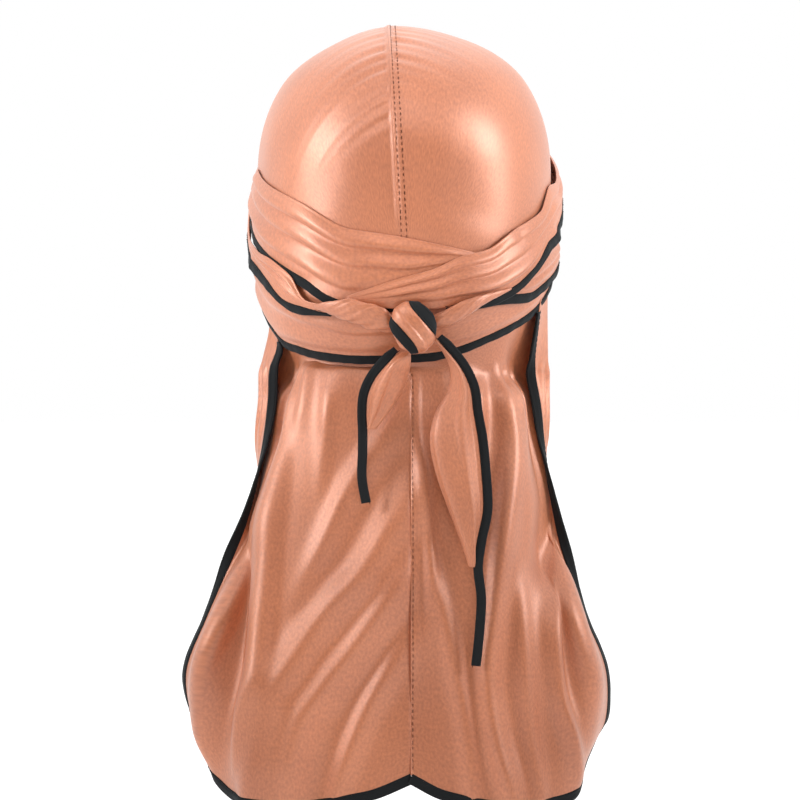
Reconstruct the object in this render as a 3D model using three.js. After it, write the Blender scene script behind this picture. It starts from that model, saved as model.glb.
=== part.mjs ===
// A satin durag, tied and ready to wear: a seamed crown, a cape that falls from the nape,
// the tie wrapped round the head, the knot at the back and its two loose ends.
// Millimetres, +Z up. The wearer faces -Y, so the knot is at +Y and the wearer's left is +X.
// The origin is where the top of the head bears on the inside of the crown.
import * as THREE from "three";
import { mergeVertices } from "three/addons/utils/BufferGeometryUtils.js";

// Driving dimensions
const headBreadth = 153.5; // across the temples, inside the crown
const headBack = 97; // from the middle of the head to its back
const headFront = 96; // from the middle of the head to the forehead
const domeHeight = 80; // from the top of the head down to where its sides are upright
const wearDepth = 180; // from the top of the head down to the lower edge of the nape wrap
const clothThickness = 1;
const layerGap = 0.5; // between one layer of cloth and the next
const seatGap = 0.3; // between pieces sewn or pressed edge to edge
const tapeWidth = 5; // the black binding, seen flat
const tapeThickness = 1.6;
const seamRise = 1.3; // how far the crown's seam stands up
const seamWidth = 5; // how far the seam's ridge reaches to each side
const seamLean = 9; // how far the seam leans to the wearer's left at the top
const capeFall = 229; // from the nape wrap's lower edge to the lowest part of the hem
const capeHalfWidth = 119; // from the centre seam to the widest part of the cape
const capeTuck = 14; // how far the cape's top lies under the nape wrap
const capeSlack = 0.9; // how much looser than a wrap the cape's top lies on the crown
const leftEndLength = 88; // the wearer's left loose end, from the knot to its tip
const rightEndLength = 170;
const endWidth = 30; // the widest part of a loose end
const knotWidth = 22; // the knot, across
const knotRise = 11; // the knot, from front to back
const knotSeat = 1.8; // the room between the knot and the layers it sits on
const strandWidth = 11; // the tie where it is drawn together beside the knot

// The head's outline: powers of the dome and of its rings, and how it draws in to the neck
const ringPower = 2.25;
const domePower = 2.2;
const neckDraw = 0.45;
const neckStart = 0.556; // share of wearDepth at which the head starts to draw in
const neckPower = 2.5;

const radians = THREE.MathUtils.degToRad;
const degrees = THREE.MathUtils.radToDeg;
const { clamp, lerp, smoothstep } = THREE.MathUtils;

// A smooth curve through one column of a table, against another column.
function column(rows, key, value) {
  const slope = (i) => {
    const before = rows[Math.max(i - 1, 0)];
    const after = rows[Math.min(i + 1, rows.length - 1)];
    return (after[value] - before[value]) / (after[key] - before[key]);
  };
  return (at) => {
    let i = 0;
    while (i < rows.length - 2 && at > rows[i + 1][key]) i += 1;
    const span = rows[i + 1][key] - rows[i][key];
    const t = clamp((at - rows[i][key]) / span, 0, 1);
    const cube = t * t * t;
    const square = t * t;
    return (
      (2 * cube - 3 * square + 1) * rows[i][value] +
      (cube - 2 * square + t) * span * slope(i) +
      (3 * square - 2 * cube) * rows[i + 1][value] +
      (cube - square) * span * slope(i + 1)
    );
  };
}

// The head, as the radius of a ring at a depth below the top. Angle 0 is the nape, 90 the left.
function headRadius(angle, depth) {
  const rise = clamp(depth / domeHeight, 0, 1);
  const dome = (1 - (1 - rise) ** domePower) ** (1 / domePower);
  const draw = Math.max((depth / wearDepth - neckStart) / neckStart, 0);
  const share = dome * (1 - neckDraw * draw ** neckPower);
  const side = Math.abs(Math.sin(angle) / ((headBreadth / 2) * share));
  const along = Math.cos(angle) > 0 ? headBack : headFront;
  const end = Math.abs(Math.cos(angle) / (along * share));
  return (side ** ringPower + end ** ringPower) ** (-1 / ringPower);
}

function headPoint(angle, depth) {
  const radius = headRadius(angle, depth);
  return new THREE.Vector3(radius * Math.sin(angle), radius * Math.cos(angle), -depth);
}

// A point off the head along its outward normal. Degrees and millimetres.
function onHead(degree, depth, off = 0) {
  const angle = radians(degree);
  const step = 0.02;
  const along = headPoint(angle + step, depth).sub(headPoint(angle - step, depth));
  const down = headPoint(angle, depth + 1).sub(headPoint(angle, depth - 1));
  return headPoint(angle, depth).addScaledVector(along.cross(down).normalize(), off);
}

// Joins a grid of inner points and a grid of outer points into one closed wall.
function wall(inner, outer, closed = false) {
  const rows = inner.length;
  const columns = inner[0].length;
  const corners = [];
  const index = (layer, i, j) => (layer * rows + (i % rows)) * columns + j;
  const quad = (a, b, c, d) => corners.push(a, b, c, a, c, d);
  for (let i = 0; i < (closed ? rows : rows - 1); i += 1) {
    for (let j = 0; j < columns - 1; j += 1) {
      quad(index(1, i, j), index(1, i, j + 1), index(1, i + 1, j + 1), index(1, i + 1, j));
      quad(index(0, i, j), index(0, i + 1, j), index(0, i + 1, j + 1), index(0, i, j + 1));
    }
    const last = columns - 1;
    quad(index(0, i, 0), index(1, i, 0), index(1, i + 1, 0), index(0, i + 1, 0));
    quad(index(0, i, last), index(0, i + 1, last), index(1, i + 1, last), index(1, i, last));
  }
  if (!closed) {
    const last = rows - 1;
    for (let j = 0; j < columns - 1; j += 1) {
      quad(index(0, 0, j), index(0, 0, j + 1), index(1, 0, j + 1), index(1, 0, j));
      quad(index(0, last, j), index(1, last, j), index(1, last, j + 1), index(0, last, j + 1));
    }
  }
  const places = [inner, outer].flat(2).flatMap((point) => point.toArray());
  const geometry = new THREE.BufferGeometry();
  geometry.setAttribute("position", new THREE.Float32BufferAttribute(places, 3));
  geometry.setIndex(corners);
  return faceOut(geometry);
}

// Merges equal corners, drops faces that have no area and turns the faces outwards.
function faceOut(geometry) {
  const merged = mergeVertices(geometry, 1e-3);
  const from = merged.index.array;
  const faces = [];
  for (let i = 0; i < from.length; i += 3) {
    const [a, b, c] = [from[i], from[i + 1], from[i + 2]];
    if (a !== b && b !== c && a !== c) faces.push(a, b, c);
  }
  merged.setIndex(faces);
  const place = merged.getAttribute("position");
  const corner = (i) => new THREE.Vector3().fromBufferAttribute(place, faces[i]);
  let volume = 0;
  for (let i = 0; i < faces.length; i += 3) {
    volume += corner(i).dot(corner(i + 1).cross(corner(i + 2)));
  }
  if (volume < 0) {
    for (let i = 0; i < faces.length; i += 3) {
      [faces[i + 1], faces[i + 2]] = [faces[i + 2], faces[i + 1]];
    }
    merged.setIndex(faces);
  }
  return merged;
}

// The crown: each panel is a net of points between the seam and its rim. The net turns about
// a line from front to back through the middle of the head, at the height of the rim's back.
const crownRim = [
  { angle: 0, depth: 0.945 },
  { angle: 45, depth: 0.925 },
  { angle: 70, depth: 0.83 },
  { angle: 90, depth: 0.69 },
  { angle: 120, depth: 0.53 },
  { angle: 150, depth: 0.475 },
  { angle: 180, depth: 0.455 },
];
const rimDepth = column(crownRim, "angle", "depth");
const netDepth = 0.945 * wearDepth;
const seamTurn = Math.atan2(seamLean, netDepth);
const crownSteps = 21;
const crownColumns = [0, 0.02, 0.055, 0.18, 0.34, 0.5, 0.66, 0.83, 1];

// Where a ray from the net's centre meets the head, as an angle, a depth and a length.
function netPoint(back, turn) {
  const ray = new THREE.Vector3(
    Math.sin(back) * Math.sin(turn),
    Math.cos(back),
    Math.sin(back) * Math.cos(turn),
  );
  let near = 0;
  let far = 2 * (headBack + domeHeight + headBreadth);
  for (let i = 0; i < 40; i += 1) {
    const middle = (near + far) / 2;
    const depth = netDepth - ray.z * middle;
    const angle = Math.atan2(ray.x, ray.y);
    const flat = Math.hypot(ray.x, ray.y) * middle;
    const outside = depth <= 0 || flat > headRadius(angle, depth);
    if (outside) far = middle;
    else near = middle;
  }
  const depth = Math.max(netDepth - ray.z * near, 0.001);
  return { degree: degrees(Math.atan2(ray.x, ray.y)), depth, ray, length: near };
}

// The turn about the front to back line at which a panel reaches its rim.
function rimTurn(back, side) {
  let inside = seamTurn;
  let outside = side * radians(112);
  for (let i = 0; i < 34; i += 1) {
    const middle = (inside + outside) / 2;
    const place = netPoint(back, middle);
    const below = place.depth > rimDepth(Math.abs(place.degree)) * wearDepth;
    if (below) outside = middle;
    else inside = middle;
  }
  return inside;
}

// The angle from the back at which the seam reaches the front rim.
function frontEnd() {
  let inside = radians(60);
  let outside = radians(175);
  for (let i = 0; i < 34; i += 1) {
    const middle = (inside + outside) / 2;
    const place = netPoint(middle, seamTurn);
    const past = place.degree > 90 || place.degree < -90;
    if (past && place.depth > rimDepth(180) * wearDepth) outside = middle;
    else inside = middle;
  }
  return inside;
}

function crownPanel(side) {
  const last = frontEnd();
  const inner = [];
  const outer = [];
  const seamNormal = new THREE.Vector3(Math.cos(seamTurn), 0, -Math.sin(seamTurn));
  const netCentre = new THREE.Vector3(0, 0, -netDepth);
  for (let i = 0; i <= crownSteps; i += 1) {
    const back = (last * i) / crownSteps;
    const rim = i === crownSteps ? seamTurn : rimTurn(back, side);
    const innerRow = [];
    const outerRow = [];
    for (const share of crownColumns) {
      const turn = lerp(seamTurn, rim, share);
      const place = netPoint(Math.max(back, 1e-4), turn);
      const point = netCentre.clone().addScaledVector(place.ray, place.length);
      const away = Math.abs(point.clone().sub(netCentre).dot(seamNormal));
      const ridge = seamRise * (1 - smoothstep(away, 0, seamWidth));
      const hidden = smoothstep(place.depth / wearDepth, 0.56, 0.62);
      const rise = ridge * (1 - hidden) * (back > radians(100) ? 1 - smoothstep(back, 1.75, 2.0) : 1);
      const normal = outward(place);
      const low = point.clone();
      const high = point.clone().addScaledVector(normal, clothThickness + rise);
      for (const corner of [low, high]) {
        const short = seatGap / 2 - side * corner.clone().sub(netCentre).dot(seamNormal);
        if (short > 0) corner.addScaledVector(seamNormal, side * short);
      }
      innerRow.push(low);
      outerRow.push(high);
    }
    inner.push(innerRow);
    outer.push(outerRow);
  }
  return wall(inner, outer);
}

// The head's outward direction at a net point, steady at the very top too.
function outward(place) {
  const depth = Math.max(place.depth, 1.5);
  const angle = radians(place.degree);
  const along = headPoint(angle + 0.02, depth).sub(headPoint(angle - 0.02, depth));
  const down = headPoint(angle, depth + 1).sub(headPoint(angle, depth - 1));
  const normal = along.cross(down).normalize();
  return normal.lerp(new THREE.Vector3(0, 0, 1), 1 - smoothstep(place.depth, 0, 3)).normalize();
}

// The turns of cloth round the head. At an angle from the nape, each row gives the depths of
// the cloth's upper and lower edges as shares of wearDepth. The tape carries on below.
const napeWrap = [
  { angle: -180, top: 0.378, bottom: 0.478 },
  { angle: -150, top: 0.400, bottom: 0.500 },
  { angle: -120, top: 0.456, bottom: 0.544 },
  { angle: -105, top: 0.500, bottom: 0.578 },
  { angle: -90, top: 0.550, bottom: 0.628 },
  { angle: -70, top: 0.656, bottom: 0.733 },
  { angle: -53, top: 0.717, bottom: 0.822 },
  { angle: -40, top: 0.744, bottom: 0.867 },
  { angle: -31, top: 0.772, bottom: 0.894 },
  { angle: -20, top: 0.794, bottom: 0.928 },
  { angle: -10, top: 0.811, bottom: 0.947 },
  { angle: 0, top: 0.817, bottom: 0.953 },
  { angle: 15, top: 0.817, bottom: 0.956 },
  { angle: 33, top: 0.800, bottom: 0.944 },
  { angle: 45, top: 0.761, bottom: 0.928 },
  { angle: 56, top: 0.717, bottom: 0.911 },
  { angle: 70, top: 0.667, bottom: 0.839 },
  { angle: 80, top: 0.622, bottom: 0.761 },
  { angle: 90, top: 0.572, bottom: 0.678 },
  { angle: 105, top: 0.517, bottom: 0.600 },
  { angle: 120, top: 0.467, bottom: 0.556 },
  { angle: 150, top: 0.406, bottom: 0.506 },
  { angle: 180, top: 0.378, bottom: 0.478 },
];
const wrapUnder = [
  { angle: -30, top: 0.706, bottom: 0.728 },
  { angle: -22.5, top: 0.692, bottom: 0.733 },
  { angle: -15, top: 0.678, bottom: 0.744 },
  { angle: -7.5, top: 0.664, bottom: 0.778 },
  { angle: 0, top: 0.650, bottom: 0.811 },
  { angle: 15, top: 0.628, bottom: 0.814 },
  { angle: 23, top: 0.617, bottom: 0.794 },
  { angle: 31, top: 0.603, bottom: 0.756 },
  { angle: 41, top: 0.572, bottom: 0.717 },
  { angle: 51, top: 0.544, bottom: 0.681 },
  { angle: 64, top: 0.508, bottom: 0.633 },
  { angle: 75, top: 0.475, bottom: 0.594 },
  { angle: 90, top: 0.428, bottom: 0.533 },
  { angle: 105, top: 0.383, bottom: 0.483 },
  { angle: 120, top: 0.344, bottom: 0.444 },
  { angle: 150, top: 0.294, bottom: 0.406 },
  { angle: 180, top: 0.261, bottom: 0.383 },
  { angle: 210, top: 0.317, bottom: 0.433 },
  { angle: 240, top: 0.406, bottom: 0.517 },
  { angle: 255, top: 0.450, bottom: 0.561 },
  { angle: 270, top: 0.494, bottom: 0.600 },
  { angle: 283, top: 0.550, bottom: 0.656 },
  { angle: 295, top: 0.600, bottom: 0.711 },
  { angle: 308, top: 0.650, bottom: 0.756 },
  { angle: 317, top: 0.689, bottom: 0.783 },
  { angle: 330, top: 0.769, bottom: 0.792 },
  { angle: 345, top: 0.789, bottom: 0.817 },
];
const wrapOver = [
  { angle: -337.5, top: 0.821, bottom: 0.828 },
  { angle: -330, top: 0.811, bottom: 0.819 },
  { angle: -322, top: 0.761, bottom: 0.806 },
  { angle: -311, top: 0.708, bottom: 0.750 },
  { angle: -302, top: 0.676, bottom: 0.714 },
  { angle: -295, top: 0.654, bottom: 0.689 },
  { angle: -285, top: 0.631, bottom: 0.658 },
  { angle: -274, top: 0.577, bottom: 0.614 },
  { angle: -255, top: 0.478, bottom: 0.550 },
  { angle: -240, top: 0.417, bottom: 0.506 },
  { angle: -210, top: 0.322, bottom: 0.439 },
  { angle: -180, top: 0.261, bottom: 0.383 },
  { angle: -150, top: 0.283, bottom: 0.400 },
  { angle: -120, top: 0.333, bottom: 0.428 },
  { angle: -105, top: 0.383, bottom: 0.461 },
  { angle: -90, top: 0.428, bottom: 0.500 },
  { angle: -77, top: 0.467, bottom: 0.550 },
  { angle: -65, top: 0.483, bottom: 0.594 },
  { angle: -58, top: 0.522, bottom: 0.622 },
  { angle: -52, top: 0.561, bottom: 0.644 },
  { angle: -43, top: 0.594, bottom: 0.706 },
  { angle: -33, top: 0.633, bottom: 0.767 },
  { angle: -25, top: 0.678, bottom: 0.794 },
  { angle: -16, top: 0.700, bottom: 0.808 },
  { angle: -8, top: 0.739, bottom: 0.817 },
  { angle: 2, top: 0.750, bottom: 0.814 },
  { angle: 15, top: 0.761, bottom: 0.794 },
];

// From the innermost layer to the outermost. The cape's top lies under all of the turns.
const layers = [
  { name: "cape", rows: napeWrap, from: -60, to: 66, tuck: true },
  { name: "nape_wrap", rows: napeWrap, closed: true },
  { name: "wrap_under", rows: wrapUnder },
  { name: "wrap_over", rows: wrapOver },
];
for (const layer of layers) {
  layer.bottomAt = column(layer.rows, "angle", "bottom");
  layer.topAt = layer.tuck
    ? (at) => layer.bottomAt(at) - capeTuck / wearDepth
    : column(layer.rows, "angle", "top");
  layer.first = layer.from ?? layer.rows[0].angle;
  layer.last = layer.to ?? layer.rows.at(-1).angle;
  layer.rise = (layer.tuck ? clothThickness + 1.3 * capeSlack : tapeThickness) + layerGap;
}

const layerReach = 11; // how far past a layer's edge the next one stays lifted
const layerFall = 11; // and over what length it comes down again
const ringLength = (Math.PI * headBreadth) / 360; // millimetres round the head to a degree

// How far a layer is lifted by the ones under it, from the crown's outer face.
function lift(order, degree, depth) {
  let total = clothThickness + 1.2 * layerGap;
  for (const layer of layers.slice(0, order)) {
    let most = 0;
    for (const turn of [-360, 0, 360]) {
      const at = degree + turn;
      const held = clamp(at, layer.first, layer.last);
      const top = layer.topAt(held) * wearDepth;
      const bottom = layer.bottomAt(held) * wearDepth + tapeWidth;
      const beyond = Math.max(top - depth, depth - bottom, 0);
      const away = Math.hypot(beyond, (at - held) * ringLength);
      most = Math.max(most, 1 - smoothstep(away, layerReach, layerReach + layerFall));
    }
    total += layer.rise * most;
  }
  return total;
}

// A band of cloth or tape between two depths, laid over the layers below it.
function band(order, edges, columns, thickness) {
  const layer = layers[order];
  const inner = [];
  const outer = [];
  const first = Math.round(layer.first / bandStep);
  const last = Math.round(layer.last / bandStep) - (layer.closed ? 1 : 0);
  for (let i = first; i <= last; i += 1) {
    const degree = i * bandStep;
    const [top, bottom] = edges(degree);
    const depths = Array.from({ length: columns + 1 }, (_, j) => lerp(top, bottom, j / columns));
    const offs = depths.map((depth) => lift(order, degree, depth));
    inner.push(depths.map((depth, j) => onHead(degree, depth, offs[j])));
    outer.push(depths.map((depth, j) => onHead(degree, depth, offs[j] + thickness)));
  }
  return wall(inner, outer, layer.closed);
}

const bandStep = 7.5; // degrees from one row of a band to the next

function cloth(order) {
  const { topAt, bottomAt } = layers[order];
  const edges = (at) => [topAt(at) * wearDepth, bottomAt(at) * wearDepth];
  return band(order, edges, 4, clothThickness);
}

function bandTape(order) {
  const { bottomAt } = layers[order];
  const edge = (at) => bottomAt(at) * wearDepth + 1.4 * seatGap;
  return band(order, (at) => [edge(at), edge(at) + tapeWidth], 1, tapeThickness);
}

// The cape. Each row is a level below the nape wrap, as a share of capeFall. The plan of the
// panel at that level runs from the seam to the bound edge; x and y are shares of
// capeHalfWidth. It bulges to the side and turns back to its bound edge near the top.
const capeLevels = {
  left: [
    { fall: 0.03, seamY: 0.625, midX: 0.26, midY: 0.585, foldX: 0.44, foldY: 0.46,
      hollowX: 0.48, hollowY: 0.33, bulgeX: 0.53, bulgeY: 0.24, edgeX: 0.58, edgeY: 0.245 },
    { fall: 0.101, seamY: 0.655, midX: 0.269, midY: 0.613, foldX: 0.462, foldY: 0.504,
      hollowX: 0.496, hollowY: 0.31, bulgeX: 0.639, bulgeY: 0.218, edgeX: 0.592, edgeY: 0.33 },
    { fall: 0.189, seamY: 0.672, midX: 0.286, midY: 0.63, foldX: 0.487, foldY: 0.529,
      hollowX: 0.512, hollowY: 0.33, bulgeX: 0.655, bulgeY: 0.218, edgeX: 0.61, edgeY: 0.35 },
    { fall: 0.326, seamY: 0.706, midX: 0.303, midY: 0.664, foldX: 0.538, foldY: 0.58,
      hollowX: 0.57, hollowY: 0.42, bulgeX: 0.635, bulgeY: 0.31, edgeX: 0.675, edgeY: 0.395 },
    { fall: 0.458, seamY: 0.731, midX: 0.319, midY: 0.697, foldX: 0.563, foldY: 0.63,
      hollowX: 0.61, hollowY: 0.46, bulgeX: 0.69, bulgeY: 0.41, edgeX: 0.76, edgeY: 0.4 },
    { fall: 0.595, seamY: 0.756, midX: 0.328, midY: 0.723, foldX: 0.58, foldY: 0.672,
      hollowX: 0.664, hollowY: 0.555, bulgeX: 0.807, bulgeY: 0.555, edgeX: 0.866, edgeY: 0.42 },
    { fall: 0.731, seamY: 0.773, midX: 0.336, midY: 0.748, foldX: 0.597, foldY: 0.706,
      hollowX: 0.697, hollowY: 0.605, bulgeX: 0.88, bulgeY: 0.588, edgeX: 0.95, edgeY: 0.437 },
    { fall: 0.868, seamY: 0.798, midX: 0.345, midY: 0.773, foldX: 0.605, foldY: 0.731,
      hollowX: 0.723, hollowY: 0.639, bulgeX: 0.9, bulgeY: 0.555, edgeX: 0.915, edgeY: 0.403 },
    { fall: 1, seamY: 0.815, midX: 0.353, midY: 0.79, foldX: 0.605, foldY: 0.756,
      hollowX: 0.706, hollowY: 0.672, bulgeX: 0.822, bulgeY: 0.571, edgeX: 0.865, edgeY: 0.42 },
  ],
  right: [
    { fall: 0.03, seamY: 0.625, midX: 0.245, midY: 0.59, foldX: 0.42, foldY: 0.48,
      hollowX: 0.465, hollowY: 0.36, bulgeX: 0.52, bulgeY: 0.27, edgeX: 0.57, edgeY: 0.28 },
    { fall: 0.101, seamY: 0.655, midX: 0.252, midY: 0.622, foldX: 0.437, foldY: 0.521,
      hollowX: 0.48, hollowY: 0.32, bulgeX: 0.63, bulgeY: 0.227, edgeX: 0.585, edgeY: 0.34 },
    { fall: 0.189, seamY: 0.672, midX: 0.261, midY: 0.639, foldX: 0.462, foldY: 0.538,
      hollowX: 0.5, hollowY: 0.34, bulgeX: 0.63, bulgeY: 0.252, edgeX: 0.605, edgeY: 0.35 },
    { fall: 0.326, seamY: 0.706, midX: 0.277, midY: 0.672, foldX: 0.504, foldY: 0.588,
      hollowX: 0.55, hollowY: 0.43, bulgeX: 0.6, bulgeY: 0.31, edgeX: 0.645, edgeY: 0.39 },
    { fall: 0.458, seamY: 0.731, midX: 0.294, midY: 0.706, foldX: 0.529, foldY: 0.639,
      hollowX: 0.58, hollowY: 0.48, bulgeX: 0.635, bulgeY: 0.42, edgeX: 0.7, edgeY: 0.4 },
    { fall: 0.595, seamY: 0.756, midX: 0.311, midY: 0.731, foldX: 0.555, foldY: 0.681,
      hollowX: 0.647, hollowY: 0.588, bulgeX: 0.748, bulgeY: 0.555, edgeX: 0.791, edgeY: 0.42 },
    { fall: 0.731, seamY: 0.773, midX: 0.319, midY: 0.756, foldX: 0.571, foldY: 0.714,
      hollowX: 0.681, hollowY: 0.639, bulgeX: 0.815, bulgeY: 0.588, edgeX: 0.875, edgeY: 0.437 },
    { fall: 0.868, seamY: 0.798, midX: 0.328, midY: 0.782, foldX: 0.58, foldY: 0.739,
      hollowX: 0.706, hollowY: 0.672, bulgeX: 0.815, bulgeY: 0.588, edgeX: 0.873, edgeY: 0.437 },
    { fall: 1, seamY: 0.815, midX: 0.336, midY: 0.798, foldX: 0.58, foldY: 0.765,
      hollowX: 0.689, hollowY: 0.689, bulgeX: 0.765, bulgeY: 0.6, edgeX: 0.836, edgeY: 0.454 },
  ],
};

// Where the panel's points lie round the head under the nape wrap, in degrees.
const capeTopAngles = {
  left: { seam: 0.6, mid: 22, fold: 42, hollow: 51, bulge: 58, edge: 63 },
  right: { seam: 0.6, mid: 21, fold: 39, hollow: 47, bulge: 52, edge: 56 },
};

// The hem's height by its share of the way from the seam to the bound edge.
const hem = [
  { across: 0, fall: 0.925 },
  { across: 0.1, fall: 0.965 },
  { across: 0.28, fall: 0.988 },
  { across: 0.6, fall: 0.975 },
  { across: 0.8, fall: 0.94 },
  { across: 0.9, fall: 0.9 },
  { across: 1, fall: 0.85 },
];

// Soft ridges over the back of the cape: from and to in shares of capeHalfWidth (x, to the
// wearer's left) and of capeFall; height and width in shares of capeHalfWidth.
const capeFolds = [
  { fromX: 0.02, from: 0.3, toX: 0.5, to: 0.82, height: 0.032, width: 0.06 },
  { fromX: 0.02, from: 0.42, toX: 0.46, to: 0.86, height: 0.024, width: 0.045 },
  { fromX: 0.02, from: 0.55, toX: 0.3, to: 0.84, height: 0.022, width: 0.045 },
  { fromX: 0.3, from: 0.12, toX: 0.36, to: 0.5, height: 0.02, width: 0.05 },
  { fromX: -0.43, from: 0.06, toX: -0.31, to: 0.97, height: 0.034, width: 0.055 },
  { fromX: -0.2, from: 0.1, toX: -0.14, to: 0.75, height: 0.018, width: 0.05 },
  { fromX: -0.32, from: 0.04, toX: -0.3, to: 0.35, height: 0.022, width: 0.03 },
];

const seamX = -0.025 * capeHalfWidth; // the cape's seam hangs a little to the wearer's right
const napeDepth = 0.978 * wearDepth;
const capeParts = ["seam", "mid", "fold", "hollow", "bulge", "edge"];
const capeAcross = [0, 0.05, 0.1, 0.15, 0.2, 0.25, 0.3, 0.35, 0.4, 0.46, 0.53, 0.6, 0.66, 0.73,
  0.8, 0.87, 0.93, 1];
const capeRows = 19;

function foldRise(x, fall) {
  let total = 0;
  for (const fold of capeFolds) {
    const run = [(fold.toX - fold.fromX) * capeHalfWidth, (fold.to - fold.from) * capeFall];
    const to = [x - fold.fromX * capeHalfWidth, fall - fold.from * capeFall];
    const length = Math.hypot(...run);
    const along = (run[0] * to[0] + run[1] * to[1]) / length ** 2;
    const aside = Math.abs(run[0] * to[1] - run[1] * to[0]) / length;
    const ends = smoothstep(along, -0.12, 0.2) * (1 - smoothstep(along, 0.75, 1.15));
    const width = fold.width * capeHalfWidth;
    total += fold.height * capeHalfWidth * ends * Math.exp(-((aside / width) ** 2));
  }
  return total;
}

// The middle of the cape's cloth, at shares of the way across and down.
function capeSurface(side) {
  const sign = side === "left" ? 1 : -1;
  const angles = capeTopAngles[side];
  const half = clothThickness / 2;
  const hemAt = column(hem, "across", "fall");
  const { bottomAt } = layers[1];
  const downs = capeAcross.map((across) => {
    const points = [];
    for (const below of [-capeTuck, -capeTuck / 5, tapeWidth * 1.6]) {
      const row = capeParts.map((name) => {
        const depth = bottomAt(sign * angles[name]) * wearDepth + below;
        return onHead(sign * angles[name], depth, lift(0, 0, depth) + capeSlack + half);
      });
      points.push(new THREE.CatmullRomCurve3(row, false, "centripetal").getPoint(across));
    }
    const last = hemAt(across);
    for (const level of capeLevels[side]) {
      const z = -napeDepth - level.fall * (1 - (1 - last) * level.fall ** 8) * capeFall;
      const row = capeParts.map((name) => {
        const x = name === "seam" ? seamX : sign * level[name + "X"] * capeHalfWidth;
        return new THREE.Vector3(x, level[name + "Y"] * capeHalfWidth, z);
      });
      points.push(new THREE.CatmullRomCurve3(row, false, "centripetal").getPoint(across));
    }
    return new THREE.CatmullRomCurve3(points, false, "centripetal");
  });
  const steps = Array.from({ length: capeRows + 1 }, (_, i) => i / capeRows);
  const smooth = steps.map((down) => downs.map((curve) => curve.getPoint(down)));
  return smooth.map((row, i) =>
    row.map((point, j) => {
      const fall = -point.z - napeDepth;
      const out = sheetNormal(smooth, i, j, sign);
      const central = 1 - smoothstep(capeAcross[j], 0.36, 0.5);
      const rise = foldRise(point.x, fall) * central * smoothstep(fall, 8, 26);
      return point.clone().addScaledVector(out, rise);
    }),
  );
}

// The outward direction of a grid at one of its points.
function sheetNormal(grid, i, j, sign) {
  const rows = grid.length - 1;
  const columns = grid[0].length - 1;
  const down = grid[Math.min(i + 1, rows)][j].clone().sub(grid[Math.max(i - 1, 0)][j]);
  const across = grid[i][Math.min(j + 1, columns)].clone().sub(grid[i][Math.max(j - 1, 0)]);
  return across.cross(down).normalize().multiplyScalar(sign);
}

function sheet(grid, sign, settle = (points) => points) {
  const shift = (amount) =>
    grid.map((row, i) =>
      row.map((point, j) => point.clone().addScaledVector(sheetNormal(grid, i, j, sign), amount)),
    );
  return wall(settle(shift(-clothThickness / 2)), settle(shift(clothThickness / 2)));
}

// Keeps a panel's seam edge clear of the other panel's.
function clearSeam(grid, sign) {
  for (const row of grid) row[0].x = seamAt(row[0].z) + (sign * seatGap) / 2;
  return grid;
}

function seamAt(z) {
  const tucked = 1 - smoothstep(-z, napeDepth, napeDepth + capeTuck);
  return lerp(seamX, 0, tucked);
}

// Tape along the side edge and the hem, beyond the cloth and in line with it.
function capeTape(grid, sign) {
  const lastRow = grid.length - 1;
  const lastColumn = grid[0].length - 1;
  const path = [];
  for (let i = capeTapeStart; i < lastRow; i += 1) path.push([i, lastColumn]);
  path.push([lastRow, lastColumn]);
  for (let j = lastColumn - 1; j >= 0; j -= 1) path.push([lastRow, j]);
  const inner = [];
  const outer = [];
  for (const [i, j] of path) {
    const point = grid[i][j];
    const normal = sheetNormal(grid, i, j, sign);
    const out = new THREE.Vector3();
    if (j === lastColumn) out.add(point.clone().sub(grid[i][j - 1]).normalize());
    if (i === lastRow) out.add(point.clone().sub(grid[i - 1][j]).normalize());
    const corner = j === lastColumn && i === lastRow;
    out.addScaledVector(normal, -out.dot(normal)).normalize();
    if (j === 0) out.setX(0).normalize();
    const reach = corner ? 1.25 : 1;
    const near = point.clone().addScaledVector(out, 2.4 * seatGap * reach);
    const far = near.clone().addScaledVector(out, tapeWidth * reach);
    inner.push([near, far].map((at) => at.clone().addScaledVector(normal, -tapeThickness / 2)));
    outer.push([near, far].map((at) => at.clone().addScaledVector(normal, tapeThickness / 2)));
  }
  return wall(clearSeamEnd(inner, sign), clearSeamEnd(outer, sign));
}

// Keeps the hem's tape clear of the other panel's at the seam.
function clearSeamEnd(rows, sign) {
  for (const point of rows.at(-1)) point.x = seamX + (sign * seatGap) / 2;
  return rows;
}

const capeTapeStart = 4; // the row of the cape's grid just below the nape wrap

// The knot: a turned ball of cloth, the strands drawn into it and a band over it.
const knotDepth = 0.876 * wearDepth;
const knotCentre = onHead(-2.3, knotDepth, lift(layers.length, -2.3, knotDepth));
knotCentre.y += knotRise / 2 + knotSeat;
const knotTurn = radians(-52); // the band runs from upper left down to the right

function knotPoint(along, across, grow) {
  const half = new THREE.Vector3(0.5 * knotWidth + grow, knotRise / 2 + grow, 0.56 * knotWidth + grow);
  const width = across * Math.cos(clamp(Math.abs(across), 0, 1) * 0.4);
  const ring = Math.sqrt(Math.max(1 - width * width, 0.02));
  const run = Math.sin(along) * ring;
  const x = run * Math.cos(knotTurn) - width * Math.sin(knotTurn);
  const z = run * Math.sin(knotTurn) + width * Math.cos(knotTurn);
  return new THREE.Vector3(-x * half.x, Math.cos(along) * ring * half.y, z * half.z).add(knotCentre);
}

function knotCore() {
  const geometry = new THREE.SphereGeometry(1, 16, 10);
  geometry.deleteAttribute("normal");
  geometry.deleteAttribute("uv");
  geometry.scale(0.5 * knotWidth, knotRise / 2, 0.56 * knotWidth);
  geometry.translate(...knotCentre.toArray());
  return faceOut(geometry);
}

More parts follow.
